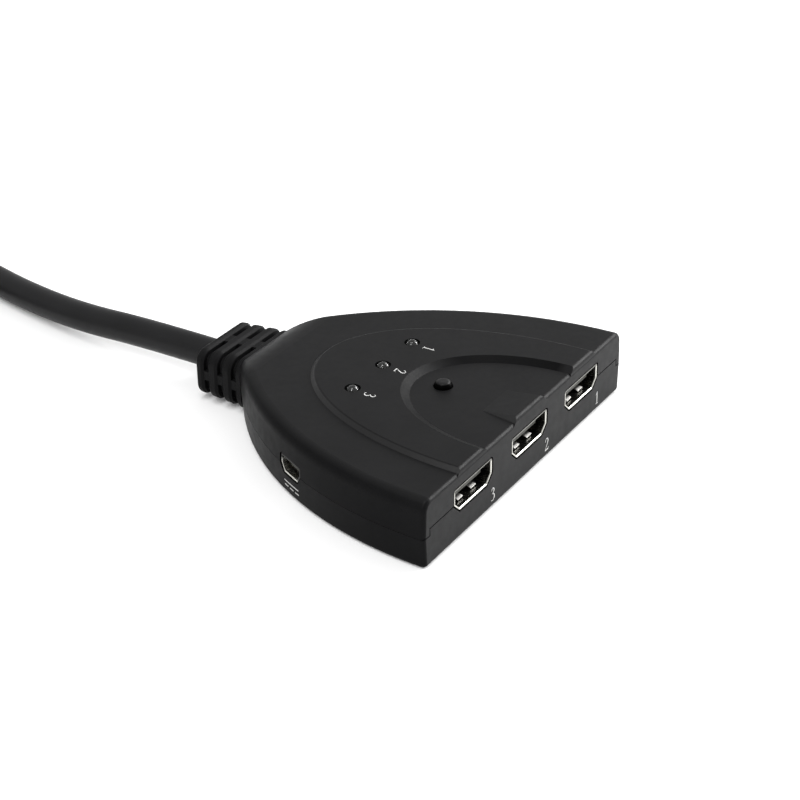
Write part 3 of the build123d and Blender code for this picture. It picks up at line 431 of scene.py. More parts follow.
@dataclass(frozen=True)
class MetalFinish:
    """Stamped, plated metal: rolling lines along one axis, a little unevenness in the gloss, and painted
    shade where fades are given.
    """

    name: str
    slot: str
    colour: Colour
    roughness: float
    depth: float = 0.003 * MM
    lines: float = 0.12 * MM
    stretch: Triple = (1.0, 0.06, 1.0)
    tone_size: float = 1.6 * MM
    tone_share: float = 0.9
    smoother: float = 0.05
    rougher: float = 0.07
    specular: float = 0.1
    fades: tuple[Fade, ...] = ()

    def material(self) -> bpy.types.Material:
        """Builds the finish's nodes.

        Returns:
            The new material.
        """
        graph = Graph(self.name)
        ends = (shade(self.colour, self.tone_share), self.colour)
        colour = graph.mottle(self.tone_size, Detail.FINE, ends)
        # Each fade darkens the colour by place: painted shade.
        for fade in self.fades:
            share = graph.fade(fade)
            colour = graph.tint(colour, share)
            if fade.dulls:
                graph.blacken(share)
        graph.feed("Base Color", colour)
        rolled = graph.noise(self.lines, Detail.EVEN, self.stretch)
        low, high = self.roughness - self.smoother, self.roughness + self.rougher
        graph.feed("Roughness", graph.spread(rolled, low, high))
        graph.relief(rolled, self.depth)
        graph.plain(Metallic=1.0, Specular_IOR_Level=self.specular)
        return graph.material


@dataclass(frozen=True)
class LensFinish:
    """Clear cast epoxy of a status light."""

    name: str
    slot: str
    colour: Colour
    roughness: float
    clearness: float = 0.96
    refraction: float = 1.5
    swirl: float = 0.9 * MM
    milky_share: float = 0.94
    depth: float = 0.001 * MM

    def material(self) -> bpy.types.Material:
        """Builds the finish's nodes.

        Returns:
            The new material.
        """
        graph = Graph(self.name)
        ends = (shade(self.colour, self.milky_share), self.colour)
        graph.feed("Base Color", graph.mottle(self.swirl, Detail.EVEN, ends))
        graph.relief(graph.noise(self.swirl, Detail.SMOOTH), self.depth)
        graph.plain(Transmission_Weight=self.clearness, IOR=self.refraction, Roughness=self.roughness)
        return graph.material


@dataclass(frozen=True)
class InkFinish:
    """Screen-printed ink, slightly uneven where it covers the grain under it."""

    name: str
    slot: str
    colour: Colour
    roughness: float = 0.55
    cover: float = 0.3 * MM
    cover_stops: tuple[float, float] = (0.34, 0.6)
    thin_share: float = 0.78
    grain: float = 0.28 * MM
    depth: float = 0.006 * MM

    def material(self) -> bpy.types.Material:
        """Builds the finish's nodes.

        Returns:
            The new material.
        """
        graph = Graph(self.name)
        ends = (shade(self.colour, self.thin_share), self.colour)
        graph.feed("Base Color", graph.mottle(self.cover, Detail.FINE, ends, self.cover_stops))
        graph.relief(graph.noise(self.grain, Detail.EVEN), self.depth)
        graph.plain(Roughness=self.roughness)
        return graph.material


@dataclass(frozen=True)
class BoardFinish:
    """Green solder mask over copper tracks, with the weave of the laminate faintly under it."""

    name: str
    slot: str
    mask: Colour
    track: Colour
    track_pitch: float = 4.2 * MM
    track_width_share: float = 0.035
    stagger: float = 0.35
    mask_share: float = 0.86
    weave: float = 0.5 * MM
    weave_stretch: Triple = (1.0, 0.3, 1.0)
    depth: float = 0.006 * MM
    roughness: float = 0.32
    coat: float = 0.3

    def material(self) -> bpy.types.Material:
        """Builds the finish's nodes.

        Returns:
            The new material.
        """
        graph = Graph(self.name)
        bricks = graph.add("ShaderNodeTexBrick", offset=self.stagger)
        bricks.inputs["Scale"].default_value = 1 / self.track_pitch
        bricks.inputs["Mortar Size"].default_value = self.track_width_share
        bricks.inputs["Color1"].default_value = (*self.mask, 1)
        bricks.inputs["Color2"].default_value = (*shade(self.mask, self.mask_share), 1)
        bricks.inputs["Mortar"].default_value = (*self.track, 1)
        graph.join(graph.place.outputs["Object"], bricks.inputs["Vector"])
        graph.feed("Base Color", bricks.outputs["Color"])
        graph.relief(graph.noise(self.weave, Detail.SMOOTH, self.weave_stretch), self.depth)
        graph.plain(Roughness=self.roughness, Coat_Weight=self.coat)
        return graph.material


@dataclass(frozen=True)
class WireFinish:
    """Thin insulated wires, each in its own colour from side to side of the fan."""

    name: str
    slot: str
    colours: tuple[Colour, ...]
    half_span: float = 6.3 * MM
    grain: float = 0.2 * MM
    depth: float = 0.004 * MM
    roughness: float = 0.42

    def material(self) -> bpy.types.Material:
        """Builds the finish's nodes.

        Returns:
            The new material.
        """
        graph = Graph(self.name)
        across = graph.fade(Fade("X", -self.half_span, self.half_span))
        steps = [(i / len(self.colours), colour) for i, colour in enumerate(self.colours)]
        graph.feed("Base Color", graph.ramp(across, steps, stepped=True))
        graph.relief(graph.noise(self.grain, Detail.EVEN), self.depth)
        graph.plain(Roughness=self.roughness)
        return graph.material


# The housing's walls carry painted light and shade.
HOUSING = MouldedFinish(
    "housing_plastic", "housing_plastic", (0.0055, 0.0055, 0.0058),
    roughness=0.42, grain=0.3 * MM, depth=0.007 * MM, specular=0.09, painted_wall_light=WallPaintedLight(),
)
PAINTED_SHADE_CAP = MouldedFinish(
    "button_plastic", "button_plastic", (0.0075, 0.0075, 0.0079),
    roughness=0.4, grain=0.2 * MM, depth=0.003 * MM, specular=0.15,
    # Below the top the colour and the gloss fall to 8 percent: painted shade on the button's side.
    fade=Fade("Z", BUTTON_TOP - 0.36 * MM, BUTTON_TOP - 0.12 * MM, low=0.08),
)
SLEEVE = MouldedFinish(
    "relief_rubber", "relief_rubber", (0.006, 0.006, 0.0063),
    roughness=0.48, grain=0.35 * MM, depth=0.01 * MM, specular=0.055,
)
JACKET = MouldedFinish(
    "cable_jacket", "cable_jacket", (0.0095, 0.0095, 0.01),
    roughness=0.42, grain=0.5 * MM, depth=0.01 * MM, specular=0.14,
)
PLUG_CASE = MouldedFinish(
    "plug_plastic", "plug_plastic", (0.0085, 0.0085, 0.009),
    roughness=0.38, grain=0.3 * MM, depth=0.008 * MM, specular=0.12,
)
INSULATOR = MouldedFinish(
    "socket_plastic", "socket_plastic", (0.024, 0.024, 0.017),
    roughness=0.5, grain=0.15 * MM, depth=0.006 * MM,
)
RESIN = MouldedFinish(
    "chip_resin", "chip_resin", (0.02, 0.02, 0.022), roughness=0.6, grain=0.12 * MM, depth=0.01 * MM,
)
BROWN_CERAMIC = MouldedFinish(
    "capacitor_ceramic", "capacitor_ceramic", (0.28, 0.17, 0.09), roughness=0.5, grain=0.1 * MM,
)
BLACK_CERAMIC = MouldedFinish(
    "resistor_ceramic", "resistor_ceramic", (0.03, 0.03, 0.034), roughness=0.35, grain=0.1 * MM,
)
PLATING = (0.66, 0.65, 0.6)
PLATING_DEPTH = 0.0012 * MM
PAINTED_SHADE_SOCKET_METAL = MetalFinish(
    "socket_metal", "socket_metal", PLATING, roughness=0.28, depth=PLATING_DEPTH,
    fades=(
        # Darker from just behind the rim inwards and near the top: painted shade inside the shell.
        Fade("Y", SOCKET_RIM + 0.02 * MM, SOCKET_RIM + 0.16 * MM, low=1.0, high=0.18),
        Fade("Z", SOCKET_TOP - 0.7 * MM, SOCKET_TOP - 0.3 * MM, low=1.0, high=0.3),
    ),
)
PLUG_METAL = MetalFinish("plug_metal", "socket_metal", PLATING, roughness=0.26, depth=PLATING_DEPTH)
PAINTED_SHADE_POWER_METAL = MetalFinish(
    "power_metal", "socket_metal", PLATING, roughness=0.25, depth=PLATING_DEPTH,
    fades=(
        # Dark, metal share too, above 8.2 mm and in front of y -5 mm: painted shade.
        Fade("Z", 7.6 * MM, 8.2 * MM, low=1.0, high=0.02, dulls=True),
        Fade("Y", -5.0 * MM, -4.5 * MM, low=0.02, dulls=True),
    ),
)
PAINTED_SHADE_SPRING_METAL = MetalFinish(
    "spring_metal", "spring_metal", (0.95, 0.94, 0.91), roughness=0.6, depth=0.0003 * MM,
    # Darker deeper in the sockets: painted shade.
    fades=(Fade("Y", SOCKET_RIM + 1.7 * MM, SOCKET_RIM + 2.2 * MM, low=1.0, high=0.1),),
)
# Dark grey, so the inside of each light shows dark: painted shade.
PAINTED_SHADE_CUP_METAL = MetalFinish("cup_metal", "lead_metal", (0.2, 0.2, 0.2), roughness=0.4, depth=0.001 * MM)
LEAD_METAL = MetalFinish(
    "lead_metal", "lead_metal", (0.68, 0.67, 0.65), roughness=0.34, lines=0.1 * MM, stretch=(1, 1, 0.1),
)
SCREW_STEEL = MetalFinish(
    "screw_steel", "screw_steel", (0.34, 0.34, 0.35), roughness=0.36, lines=0.15 * MM, stretch=(1, 1, 1),
)
CONTACT_METAL = MetalFinish(
    "contact_metal", "contact_metal", (0.42, 0.35, 0.25), roughness=0.36, lines=0.08 * MM,
)
LENS = LensFinish("clear_lens", "clear_lens", (0.16, 0.16, 0.155), roughness=0.2)
INK = InkFinish("print_ink", "housing_plastic", (0.62, 0.62, 0.61))
LAMINATE = BoardFinish(
    "board_laminate", "board_laminate", mask=(0.01, 0.09, 0.035), track=(0.025, 0.16, 0.07),
)
WIRES = WireFinish(
    "wire_insulation", "wire_insulation",
    colours=(
        (0.5, 0.03, 0.03), (0.02, 0.08, 0.45), (0.6, 0.5, 0.05), (0.6, 0.6, 0.58), (0.03, 0.3, 0.07),
        (0.24, 0.1, 0.04), (0.03, 0.03, 0.03),
    ),
)
Finish = MouldedFinish | MetalFinish | LensFinish | InkFinish | BoardFinish | WireFinish


class Dresser:
    """Keeps one material for each finish and puts it on pieces."""

    def __init__(self) -> None:
        """Starts with no materials."""
        self.made: dict[str, bpy.types.Material] = {}

    def material(self, finish: Finish) -> bpy.types.Material:
        """Hands out the finish's material, made when it is first asked for.

        Args:
            finish: The finish.

        Returns:
            Its one material.
        """
        if finish.name not in self.made:
            self.made[finish.name] = finish.material()
        return self.made[finish.name]

    def solid(self, node: str, finish: Finish) -> bpy.types.Object:
        """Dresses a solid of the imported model.

        Args:
            node: The solid's name.
            finish: The finish that it gets.

        Returns:
            The solid's object.
        """
        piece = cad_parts[node]
        piece.data.materials.clear()
        piece.data.materials.append(self.material(finish))
        for face in piece.data.polygons:
            face.use_smooth = True
        piece.data.set_sharp_from_angle(angle=SHARP_ANGLE)
        LOG.info("dressed %s in %s", node, finish.name)
        return piece

    def solids(self, finishes: dict[str, Finish]) -> None:
        """Dresses several solids, each in its own finish."""
        for node, finish in finishes.items():
            self.solid(node, finish)

    def piece(self, made: bpy.types.Object, finish: Finish, body: str) -> bpy.types.Object:
        """Dresses a piece of the scene's own and lets it ride.

        Args:
            made: The new object.
            finish: The finish that it gets.
            body: The body that it moves with.

        Returns:
            The same object.
        """
        made.data.materials.append(self.material(finish))
        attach(made, body)
        LOG.info("added %s in %s", made.name, finish.name)
        return made


def mesh_object(name: str, points: Sequence[Vector], faces: Sequence[Sequence[int]],
                smooth: bool = False) -> bpy.types.Object:
    """Makes a mesh object from points in metres.

    Args:
        name: The object's name.
        points: The mesh's points.
        faces: The faces, as point numbers.
        smooth: Whether the faces are shaded smooth.

    Returns:
        The new object, linked to the scene.
    """
    mesh = bpy.data.meshes.new(name)
    mesh.from_pydata([tuple(p) for p in points], [], [tuple(f) for f in faces])
    for face in mesh.polygons:
        face.use_smooth = smooth
    made = bpy.data.objects.new(name, mesh)
    bpy.context.scene.collection.objects.link(made)
    return made


class Glyph(Enum):
    """The printed signs, as strokes of (across, up, width) in parts of their height."""

    ONE = (
        ((0.1, 0.79, 0.03), (0.22, 0.86, 0.05), (0.31, 0.97, 0.06)),
        ((0.31, 1.0, 0.11), (0.31, 0.03, 0.11)),
        ((0.12, 0.02, 0.04), (0.5, 0.02, 0.04)),
    )
    TWO = (
        ((0.05, 0.72, 0.05), (0.09, 0.86, 0.06), (0.2, 0.96, 0.06), (0.34, 0.95, 0.08), (0.44, 0.82, 0.11),
         (0.42, 0.66, 0.11), (0.3, 0.44, 0.09), (0.16, 0.24, 0.06), (0.05, 0.08, 0.05)),
        ((0.03, 0.055, 0.11), (0.49, 0.055, 0.11)),
        ((0.48, 0.06, 0.06), (0.54, 0.2, 0.03)),
    )
    THREE = (
        ((0.06, 0.8, 0.04), (0.13, 0.93, 0.06), (0.25, 0.98, 0.06), (0.38, 0.9, 0.1), (0.4, 0.74, 0.11),
         (0.3, 0.6, 0.07), (0.18, 0.53, 0.04)),
        ((0.18, 0.53, 0.04), (0.33, 0.5, 0.07), (0.45, 0.36, 0.11), (0.44, 0.18, 0.12), (0.32, 0.05, 0.07),
         (0.17, 0.01, 0.05), (0.05, 0.06, 0.09)),
    )
    DIRECT_CURRENT = (
        ((0.0, 0.72, 0.14), (2.6, 0.72, 0.14)),
        ((0.0, 0.22, 0.14), (0.66, 0.22, 0.14)),
        ((0.97, 0.22, 0.14), (1.63, 0.22, 0.14)),
        ((1.94, 0.22, 0.14), (2.6, 0.22, 0.14)),
    )

    @property
    def width(self) -> float:
        """The sign's width, in parts of its height."""
        return max(x for stroke in self.value for x, _, _ in stroke)


def curve_value(before: float, start: float, end: float, after: float, share: float) -> float:
    """Finds a value between two, on a smooth curve that runs through their neighbours too.

    Args:
        before: The value before the start.
        start: The value at a share of 0.
        end: The value at a share of 1.
        after: The value after the end.
        share: How far it is from the start to the end.

    Returns:
        The curve's value there.
    """
    slope = end - before
    bend = 2 * before - 5 * start + 4 * end - after
    twist = 3 * start - before - 3 * end + after
    return 0.5 * (2 * start + slope * share + bend * share**2 + twist * share**3)


def smooth_stroke(stroke: Sequence[Triple], steps: int = 6) -> list[Triple]:
    """Draws a smooth line through a stroke's points.

    Args:
        stroke: Points of (across, up, width).
        steps: Pieces between two points.

    Returns:
        The points of the smooth line.
    """
    if len(stroke) == 2:
        return [tuple(a + (b - a) * i / steps for a, b in zip(*stroke)) for i in range(steps + 1)]
    ends = [stroke[0], *stroke, stroke[-1]]
    line = []
    for neighbours in zip(ends, ends[1:], ends[2:], ends[3:]):
        for i in range(steps):
            line.append(tuple(curve_value(*values, i / steps) for values in zip(*neighbours)))
    return [*line, tuple(stroke[-1])]


@dataclass
class PrintedSign:
    """A sign printed on a face of the housing, a thin film that follows the face."""

    name: str
    glyph: Glyph
    height: float
    lay: Placing
    weight: float = 0.8
    film: float = 0.02 * MM
    lift: float = 0.012 * MM

    def build(self, dresser: Dresser) -> bpy.types.Object:
        """Builds the film's mesh on the face.

        Args:
            dresser: What dresses the film.

        Returns:
            The film's object.
        """
        points: list[Vector] = []
        faces: list[tuple[int, ...]] = []
        for stroke in self.glyph.value:
            line = smooth_stroke(stroke)
            first = len(points)
            for i, (x, y, width) in enumerate(line):
                before, after = line[max(i - 1, 0)], line[min(i + 1, len(line) - 1)]
                along = Vector((after[0] - before[0], after[1] - before[1])).normalized()
                side = Vector((-along.y, along.x)) * self.weight * width / 2
                for depth in (-self.film, self.lift):
                    for sign in (-1, 1):
                        u = (x - self.glyph.width / 2 + sign * side.x) * self.height
                        v = (y - 0.5 + sign * side.y) * self.height
                        points.append(self.lay(u, v, depth))
            for i in range(len(line) - 1):
                a = first + 4 * i
                b = a + 4
                faces += [(a + 2, a + 3, b + 3, b + 2), (a, b, b + 1, a + 1)]
                faces += [(a, a + 2, b + 2, b), (a + 1, b + 1, b + 3, a + 3)]
            end = first + 4 * (len(line) - 1)
            faces += [(first, first + 1, first + 3, first + 2), (end, end + 2, end + 3, end + 1)]
        return dresser.piece(mesh_object(self.name, points, faces), INK, BOX)


@dataclass
class Housing:
    """The two moulded shells with their screws and printed numbers."""

    front: float = -39.65 * MM
    terrace_top: float = 16.15 * MM
    side_seam: float = 6.9 * MM
    lower_draft: float = math.radians(4)
    side_radius: float = 85.1 * MM
    light_pitch: float = 12.0 * MM
    light_row: float = -8.5 * MM
    light_number_shift: float = -0.65 * MM
    light_number_height: float = 2.7 * MM
    socket_pitch: float = 23.34 * MM
    socket_number_level: float = 3.2 * MM
    socket_number_height: float = 3.0 * MM
    socket_number_shift: float = 7.8 * MM
    power_distance: float = 38.65 * MM
    power_sign_level: float = 2.8 * MM
    power_sign_height: float = 2.2 * MM
    numbers: tuple[tuple[Glyph, int], ...] = ((Glyph.ONE, 1), (Glyph.TWO, 0), (Glyph.THREE, -1))

    def on_top(self, x: float, y: float) -> Placing:
        """Lays a sign on the terrace, to be read from the lead's side."""
        return lambda u, v, depth: Vector((x - u, y - v, self.terrace_top + depth))

    def on_front(self, x: float, z: float) -> Placing:
        """Lays a sign on the front face."""
        return lambda u, v, depth: Vector((x + u, self.front - depth, z + v))

    def on_side(self, distance: float, z: float) -> Placing:
        """Lays a sign on the curved, drafted side wall.

        Args:
            distance: From the wall's front end to the sign's centre, along the wall.
            z: The centre's level.

        Returns:
            What lays the sign's points.
        """

        def lay(u: float, v: float, depth: float) -> Vector:
            """Finds the point of the wall under a point of the sign.

            Args:
                u: The point's place along the wall, from the sign's centre.
                v: Its place above the centre.
                depth: How far it stands off the wall.

            Returns:
                The point.
            """
            level = z + v
            angle = (distance - u) / self.side_radius
            radius = self.side_radius - max(0, self.side_seam - level) * math.tan(self.lower_draft) + depth
            x = self.side_radius / 2 - radius * math.cos(angle)
            return Vector((x, self.front + radius * math.sin(angle), level))

        return lay

    def build(self, dresser: Dresser) -> None:
        """Dresses the shells and prints the numbers.

        Args:
            dresser: What dresses the pieces.
        """
        dresser.solid("upper_housing", HOUSING)
        dresser.solid("lower_housing", HOUSING)
        dresser.solid("case_screws", SCREW_STEEL)
        for number, (glyph, step) in enumerate(self.numbers, start=1):
            across = step * self.light_pitch + self.light_number_shift
            light = self.on_top(across, self.light_row)
            PrintedSign(f"light_number_{number}", glyph, self.light_number_height, light).build(dresser)
            across = step * self.socket_pitch + self.socket_number_shift
            below = self.on_front(across, self.socket_number_level)
            PrintedSign(f"socket_number_{number}", glyph, self.socket_number_height, below).build(dresser)
        side = self.on_side(self.power_distance, self.power_sign_level)
        PrintedSign("power_sign", Glyph.DIRECT_CURRENT, self.power_sign_height, side).build(dresser)


@dataclass
class Sockets:
    """The three input sockets and the power socket."""

    count: int = 3

    def build(self, dresser: Dresser) -> None:
        """Dresses shells, insulators, contacts and springs.

        Args:
            dresser: What dresses the pieces.
        """
        for number in range(1, self.count + 1):
            dresser.solid(f"input_socket_shell_{number}", PAINTED_SHADE_SOCKET_METAL)
            dresser.solid(f"input_socket_core_{number}", INSULATOR)
            dresser.solid(f"input_socket_contacts_{number}", CONTACT_METAL)
        dresser.solid("socket_leaf_springs", PAINTED_SHADE_SPRING_METAL)
        dresser.solid("power_socket_shell", PAINTED_SHADE_POWER_METAL)
        dresser.solid("power_socket_core", INSULATOR)
        dresser.solid("power_socket_contacts", CONTACT_METAL)


@dataclass
class StatusLights:
    """The clear lights, each with the metal cup and post that hold its chip."""

    count: int = 3
    cup_radius: float = 0.62 * MM
    cup_height: float = 0.8 * MM
    cup_wall: float = 0.25 * MM
    rim_share: float = 0.8
    bowl_share: float = 0.4
    bowl_depth: float = 0.35 * MM
    post_half: float = 0.25 * MM
    post_foot: float = 0.2 * MM
    second_post_share: float = 0.7
    second_post_drop: float = 0.15 * MM
    spread: float = 0.62 * MM
    depth: float = 3.6 * MM
    segments: int = 20

    def cup(self, number: int, centre: Vector) -> bpy.types.Object:
        """Builds the cup on its post and the second post beside it.

        Args:
            number: The light's number.
            centre: The foot of the light's axis.

        Returns:
            The new object.
        """
        points: list[Vector] = []
        faces: list[tuple[int, ...]] = []
        foot, top = centre.z + self.post_foot, centre.z + self.depth
        rings = (
            (self.post_half, foot),
            (self.post_half, top - self.cup_height),
            (self.cup_radius, top - self.cup_wall),
            (self.cup_radius, top),
            (self.cup_radius * self.rim_share, top),
            (self.cup_radius * self.bowl_share, top - self.bowl_depth),
        )
        for radius, level in rings:
            for i in range(self.segments):
                angle = 2 * math.pi * i / self.segments
                offset = Vector((radius * math.cos(angle) - self.spread / 2, radius * math.sin(angle), 0))
                points.append(Vector((centre.x, centre.y, level)) + offset)
        for ring in range(len(rings) - 1):
            for i in range(self.segments):
                a, b = ring * self.segments + i, ring * self.segments + (i + 1) % self.segments
                faces.append((a, b, b + self.segments, a + self.segments))
        faces.append(tuple(reversed(range(self.segments))))
        last = (len(rings) - 1) * self.segments
        faces.append(tuple(range(last, last + self.segments)))
        first = len(points)
        half = self.post_half * self.second_post_share
        for level in (foot, top - self.second_post_drop):
            for x, y in SQUARE:
                points.append(Vector((centre.x + self.spread + x * half, centre.y + y * half, level)))
        faces += [tuple(first + corner for corner in face) for face in BLOCK_FACES]
        return mesh_object(f"light_cup_{number}", points, faces, smooth=True)

    def build(self, dresser: Dresser) -> None:
        """Dresses the lights and puts their cups in.

        Args:
            dresser: What dresses the pieces.
        """
        for number in range(1, self.count + 1):
            dresser.solid(f"status_light_{number}", LENS)
            low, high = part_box(f"status_light_{number}")
            centre = Vector(((low.x + high.x) / 2, (low.y + high.y) / 2, low.z))
            dresser.piece(self.cup(number, centre), PAINTED_SHADE_CUP_METAL, BOX)
        dresser.solid("light_leads", LEAD_METAL)


@dataclass
class SelectSwitch:
    """The select button and the push switch under it."""

    parts: dict[str, Finish] = field(default_factory=lambda: {
        "select_button": PAINTED_SHADE_CAP,
        "button_switch_plunger": INSULATOR,
        "button_switch_base": RESIN,
        "button_switch_cover": LEAD_METAL,
        "button_switch_legs": LEAD_METAL,
    })

    def build(self, dresser: Dresser) -> None:
        """Dresses the button and its switch."""
        dresser.solids(self.parts)


@dataclass
class Board:
    """The circuit board with what it carries."""

    parts: dict[str, Finish] = field(default_factory=lambda: {
        "circuit_board": LAMINATE,
        "switch_chip": RESIN,
        "chip_leads": LEAD_METAL,
        "regulator": RESIN,
        "capacitors": BROWN_CERAMIC,
        "resistors": BLACK_CERAMIC,
    })

    def build(self, dresser: Dresser) -> None:
        """Dresses the board and its parts."""
        dresser.solids(self.parts)


@dataclass
class OutputLead:
    """The lead: strain relief, jacket, coil and plug.

    Its free stretch hangs through points across, along and above the relief's end, and lies on the table
    from there through points across and along. They are those of the solids, but for the second and the
    third, which are up to a millimetre off.
    """

    diameter: float = 7.0 * MM
    length: float = 475 * MM
    relief_end: float = 39.65 * MM
    relief_level: float = 6.5 * MM
    floor_gap: float = 0.05 * MM
    hanging: tuple[Triple, ...] = (
        (0.0, 0.0, 0.0), (0.3 * MM, 21.0 * MM, 0.1 * MM), (2.1 * MM, 43.5 * MM, -2.1 * MM),
    )
    lying: tuple[tuple[float, float], ...] = (
        (6.0 * MM, 65.0 * MM), (10.5 * MM, 82.0 * MM), (12.0 * MM, 98.0 * MM),
    )
    coil_radius: float = 44.0 * MM
    coil_gap: float = 0.6 * MM
    coil_turns: float = 1.5
    climb_start: float = 1.0
    coil_rise: float = 9.1 * MM
    points_per_turn: int = 16
    curve_order: int = 3
    steps_between_points: int = 10
    round_steps: int = 8
    plug: tuple[str, ...] = ("plug_relief", "plug_body", "plug_shell", "plug_core", "plug_contacts")

    def route(self) -> list[Vector]:
        """Finds the free stretch, from the relief down to the table and away.

        Returns:
            The stretch's points.
        """
        lay = self.diameter / 2 + self.floor_gap
        places = [(across, along, self.relief_level + rise) for across, along, rise in self.hanging]
        places += [(across, along, lay) for across, along in self.lying]
        return [Vector((across, self.relief_end + along, level)) for across, along, level in places]

    def coil(self, free: Sequence[Vector]) -> list[Vector]:
        """Finds the coil's turns, which wind inwards and climb onto the first one, and the last point.

        Args:
            free: The free stretch's points.

        Returns:
            The points of the coil, and the one where the lead ends.
        """
        step = self.diameter + self.coil_gap
        heading = (free[-1] - free[-2]).normalized()
        start = free[-1] + heading * self.diameter
        drift = math.atan2(step, 2 * math.pi * self.coil_radius)
        begin = math.atan2(heading.y, heading.x) - math.pi / 2 - drift
        centre = start - Vector((math.cos(begin), math.sin(begin), 0)) * self.coil_radius
        spacing = math.pi / self.points_per_turn
        turns = []
        for i in range(round(self.coil_turns * self.points_per_turn)):
            turn = (i + 0.5) / self.points_per_turn
            angle = begin + 2 * math.pi * turn
            radius = (self.coil_radius - step * turn) / math.cos(spacing)
            share = max(0.0, turn - self.climb_start) / (self.coil_turns - self.climb_start)
            height = self.coil_rise * share**2 * (3 - 2 * share)
            turns.append(centre + Vector((radius * math.cos(angle), radius * math.sin(angle), height)))
        last = begin + 2 * math.pi * self.coil_turns
        radius = self.coil_radius - step * self.coil_turns
        outward = Vector((math.cos(last), math.sin(last), 0))
        onward = (Vector((-outward.y, outward.x, 0)) * 2 * math.pi * radius - outward * step).normalized()
        end = centre + outward * radius + Vector((0, 0, self.coil_rise))
        return [*turns, end + onward * self.diameter]

    def jacket(self, points: Sequence[Vector]) -> bpy.types.Object:
        """Draws the jacket as one smooth round curve.

        Args:
            points: The curve's control points.

        Returns:
            The new object.
        """
        curve = bpy.data.curves.new("lead_jacket", "CURVE")
        curve.dimensions = "3D"
        curve.bevel_depth = self.diameter / 2
        curve.bevel_resolution = self.round_steps
        curve.resolution_u = self.steps_between_points
        curve.use_fill_caps = True
        line = curve.splines.new("NURBS")
        line.points.add(len(points) - 1)
        for place, point in zip(line.points, points):
            place.co = (*point, 1)
        line.order_u = self.curve_order
        line.use_endpoint_u = True
        line.use_smooth = True
        made = bpy.data.objects.new("lead_jacket", curve)
        bpy.context.scene.collection.objects.link(made)
        return made

    def build(self, dresser: Dresser) -> None:
        """Lays the lead as one curve and hides the cable's own solids.

        Args:
            dresser: What dresses the jacket.
        """
        free = self.route()
        jacket = dresser.piece(self.jacket([*free[:-1], *self.coil(free)]), JACKET, BOX)
        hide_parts("output_cable", "output_cable_coil")

    def dress(self, dresser: Dresser) -> None:
        """Dresses the relief, the lead's inner end and the plug.

        Args:
            dresser: What dresses the pieces.
        """
        dresser.solids({
            "strain_relief": SLEEVE,
            "cable_end": JACKET,
            "cable_wires": WIRES,
            "plug_relief": SLEEVE,
            "plug_body": PLUG_CASE,
            "plug_shell": PLUG_METAL,
            "plug_core": INSULATOR,
            "plug_contacts": CONTACT_METAL,
        })


@dataclass
class SoftBox:
    """A rectangular studio light that looks at a point."""

    name: str
    place: Triple
    width: float
    height: float
    watts: float
    turn: float = 0.0
    target: Triple = (0.0, 0.0, 0.0)

    def build(self) -> None:
        """Adds the light."""
        lamp = bpy.data.lights.new(self.name, "AREA")
        lamp.shape = "RECTANGLE"
        lamp.size = self.width
        lamp.size_y = self.height
        lamp.energy = self.watts
        made = bpy.data.objects.new(self.name, lamp)
        bpy.context.scene.collection.objects.link(made)
        made.location = self.place
        look = Vector(self.target) - Vector(self.place)
        aim = look.to_track_quat("-Z", "Y").to_matrix() @ Matrix.Rotation(math.radians(self.turn), 3, "Z")
        made.rotation_euler = aim.to_euler()


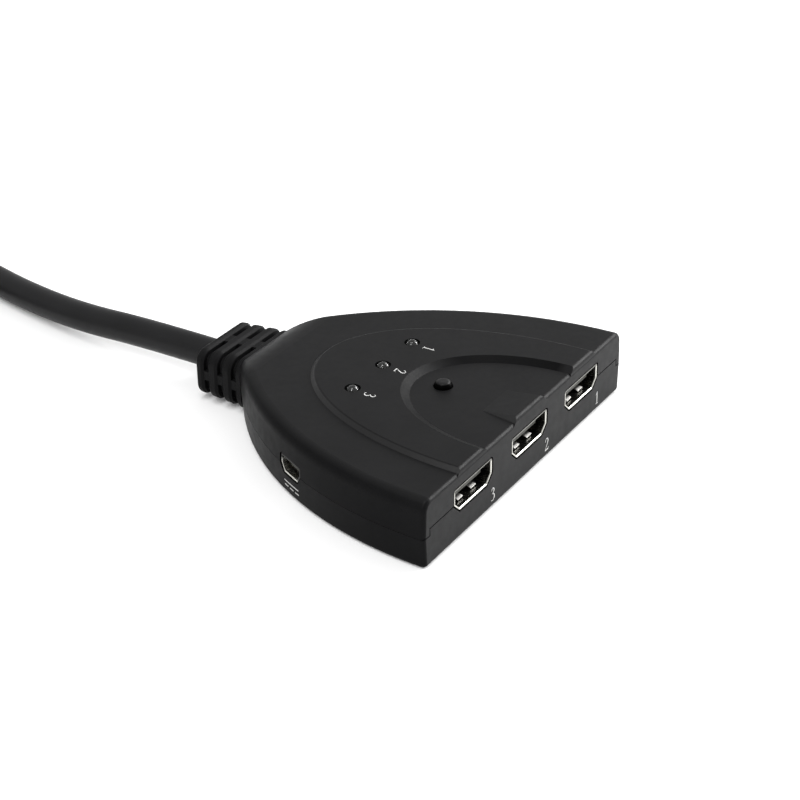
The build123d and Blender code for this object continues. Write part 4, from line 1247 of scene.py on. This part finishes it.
@dataclass
class Studio:
    """Camera, pale floor, soft lights and a white surround."""

    azimuth: float = math.radians(-57.876)
    elevation: float = math.radians(29.263)
    roll: float = math.radians(-0.756)
    place: Triple = (-315.60 * MM, -206.09 * MM, 217.43 * MM)
    lens: float = 89.265
    sensor: float = 36.0
    nearest: float = 0.01
    farthest: float = 50.0
    floor_half: float = 3.0
    floor_level: float = -0.1 * MM
    floor_colour: Colour = (0.86, 0.86, 0.86)
    floor_grain: float = 0.4
    floor_paler: float = 1.02
    floor_roughness: float = 0.9
    floor_specular: float = 0.1
    floor_lift: float = 0.08
    sky_colour: Colour = (1.0, 1.0, 1.0)
    horizon: float = 0.8
    zenith: float = 0.7
    horizon_rise: float = 0.05
    zenith_rise: float = 0.3
    lights: tuple[SoftBox, ...] = (
        SoftBox("front_strip", (0.94, -0.57, 0.57), width=0.34, height=0.9, watts=21.0, turn=-35.0),
        SoftBox("right_box", (1.1, 0.06, 0.45), width=0.3, height=0.3, watts=1.3),
        SoftBox("left_strip", (-0.43, 0.02, 0.92), width=0.3, height=0.9, watts=7.0),
    )

    def camera(self) -> None:
        """Adds the camera at the photograph's place and angle."""
        az, el, roll = self.azimuth, self.elevation, self.roll
        back = Vector((math.sin(az) * math.cos(el), -math.cos(az) * math.cos(el), math.sin(el)))
        right = Vector((math.cos(az), math.sin(az), 0))
        up = back.cross(right)
        across = math.cos(roll) * right + math.sin(roll) * up
        upward = math.cos(roll) * up - math.sin(roll) * right
        data = bpy.data.cameras.new("camera")
        data.sensor_width = self.sensor
        data.lens = self.lens
        data.clip_start = self.nearest
        data.clip_end = self.farthest
        made = bpy.data.objects.new("camera", data)
        bpy.context.scene.collection.objects.link(made)
        turn = Matrix((across, upward, back)).transposed().to_4x4()
        made.matrix_world = Matrix.Translation(Vector(self.place)) @ turn
        bpy.context.scene.camera = made

    def floor(self) -> None:
        """Adds the floor, which shows white and keeps the object's shadow."""
        half = self.floor_half
        points = [Vector((x * half, y * half, self.floor_level)) for x, y in SQUARE]
        made = mesh_object("floor", points, [(0, 1, 2, 3)])
        graph = Graph("floor_paper")
        ends = (self.floor_colour, shade(self.floor_colour, self.floor_paler))
        graph.feed("Base Color", graph.mottle(self.floor_grain, Detail.EVEN, ends))
        graph.plain(Roughness=self.floor_roughness, Specular_IOR_Level=self.floor_specular)
        ray = graph.add("ShaderNodeLightPath")
        through = graph.maths("MAXIMUM", ray.outputs["Is Glossy Ray"], ray.outputs["Is Transmission Ray"])
        seen = graph.maths("MAXIMUM", ray.outputs["Is Camera Ray"], through)
        glow = graph.add("ShaderNodeEmission")
        graph.join(graph.maths("MULTIPLY", seen, self.floor_lift), glow.inputs["Strength"])
        both = graph.add("ShaderNodeAddShader")
        graph.join(graph.shader.outputs["BSDF"], both.inputs[0])
        graph.join(glow.outputs["Emission"], both.inputs[1])
        graph.join(both.outputs["Shader"], graph.output.inputs["Surface"])
        made.data.materials.append(graph.material)

    def surroundings(self) -> None:
        """Makes the world an even pale surround, a little brighter round the horizon."""
        world = bpy.data.worlds.new("studio")
        world.use_nodes = True
        bpy.context.scene.world = world
        tree = world.node_tree
        sky = tree.nodes["Background"]
        sky.inputs["Color"].default_value = (*self.sky_colour, 1)
        direction = tree.nodes.new("ShaderNodeTexCoord")
        parts = tree.nodes.new("ShaderNodeSeparateXYZ")
        tree.links.new(direction.outputs["Generated"], parts.inputs["Vector"])
        fade = tree.nodes.new("ShaderNodeMapRange")
        fade.interpolation_type = "SMOOTHSTEP"
        fade.inputs["From Min"].default_value = self.horizon_rise
        fade.inputs["From Max"].default_value = self.zenith_rise
        fade.inputs["To Min"].default_value = self.horizon
        fade.inputs["To Max"].default_value = self.zenith
        tree.links.new(parts.outputs["Z"], fade.inputs["Value"])
        tree.links.new(fade.outputs["Result"], sky.inputs["Strength"])

    def build(self) -> None:
        """Adds floor, lights and surround, and sets the view transform."""
        self.floor()
        for light in self.lights:
            light.build()
        self.surroundings()
        bpy.context.scene.view_settings.view_transform = "Standard"


def main() -> None:
    """Builds the switch box's looks in order, camera and lead first."""
    logging.basicConfig(level=logging.INFO, format="%(message)s")
    dresser = Dresser()
    studio = Studio()
    studio.camera()
    lead = OutputLead()
    lead.build(dresser)
    lead.dress(dresser)
    for part in (Housing(), Sockets(), StatusLights(), SelectSwitch(), Board()):
        part.build(dresser)
    studio.build()


if __name__ == "__main__":
    main()
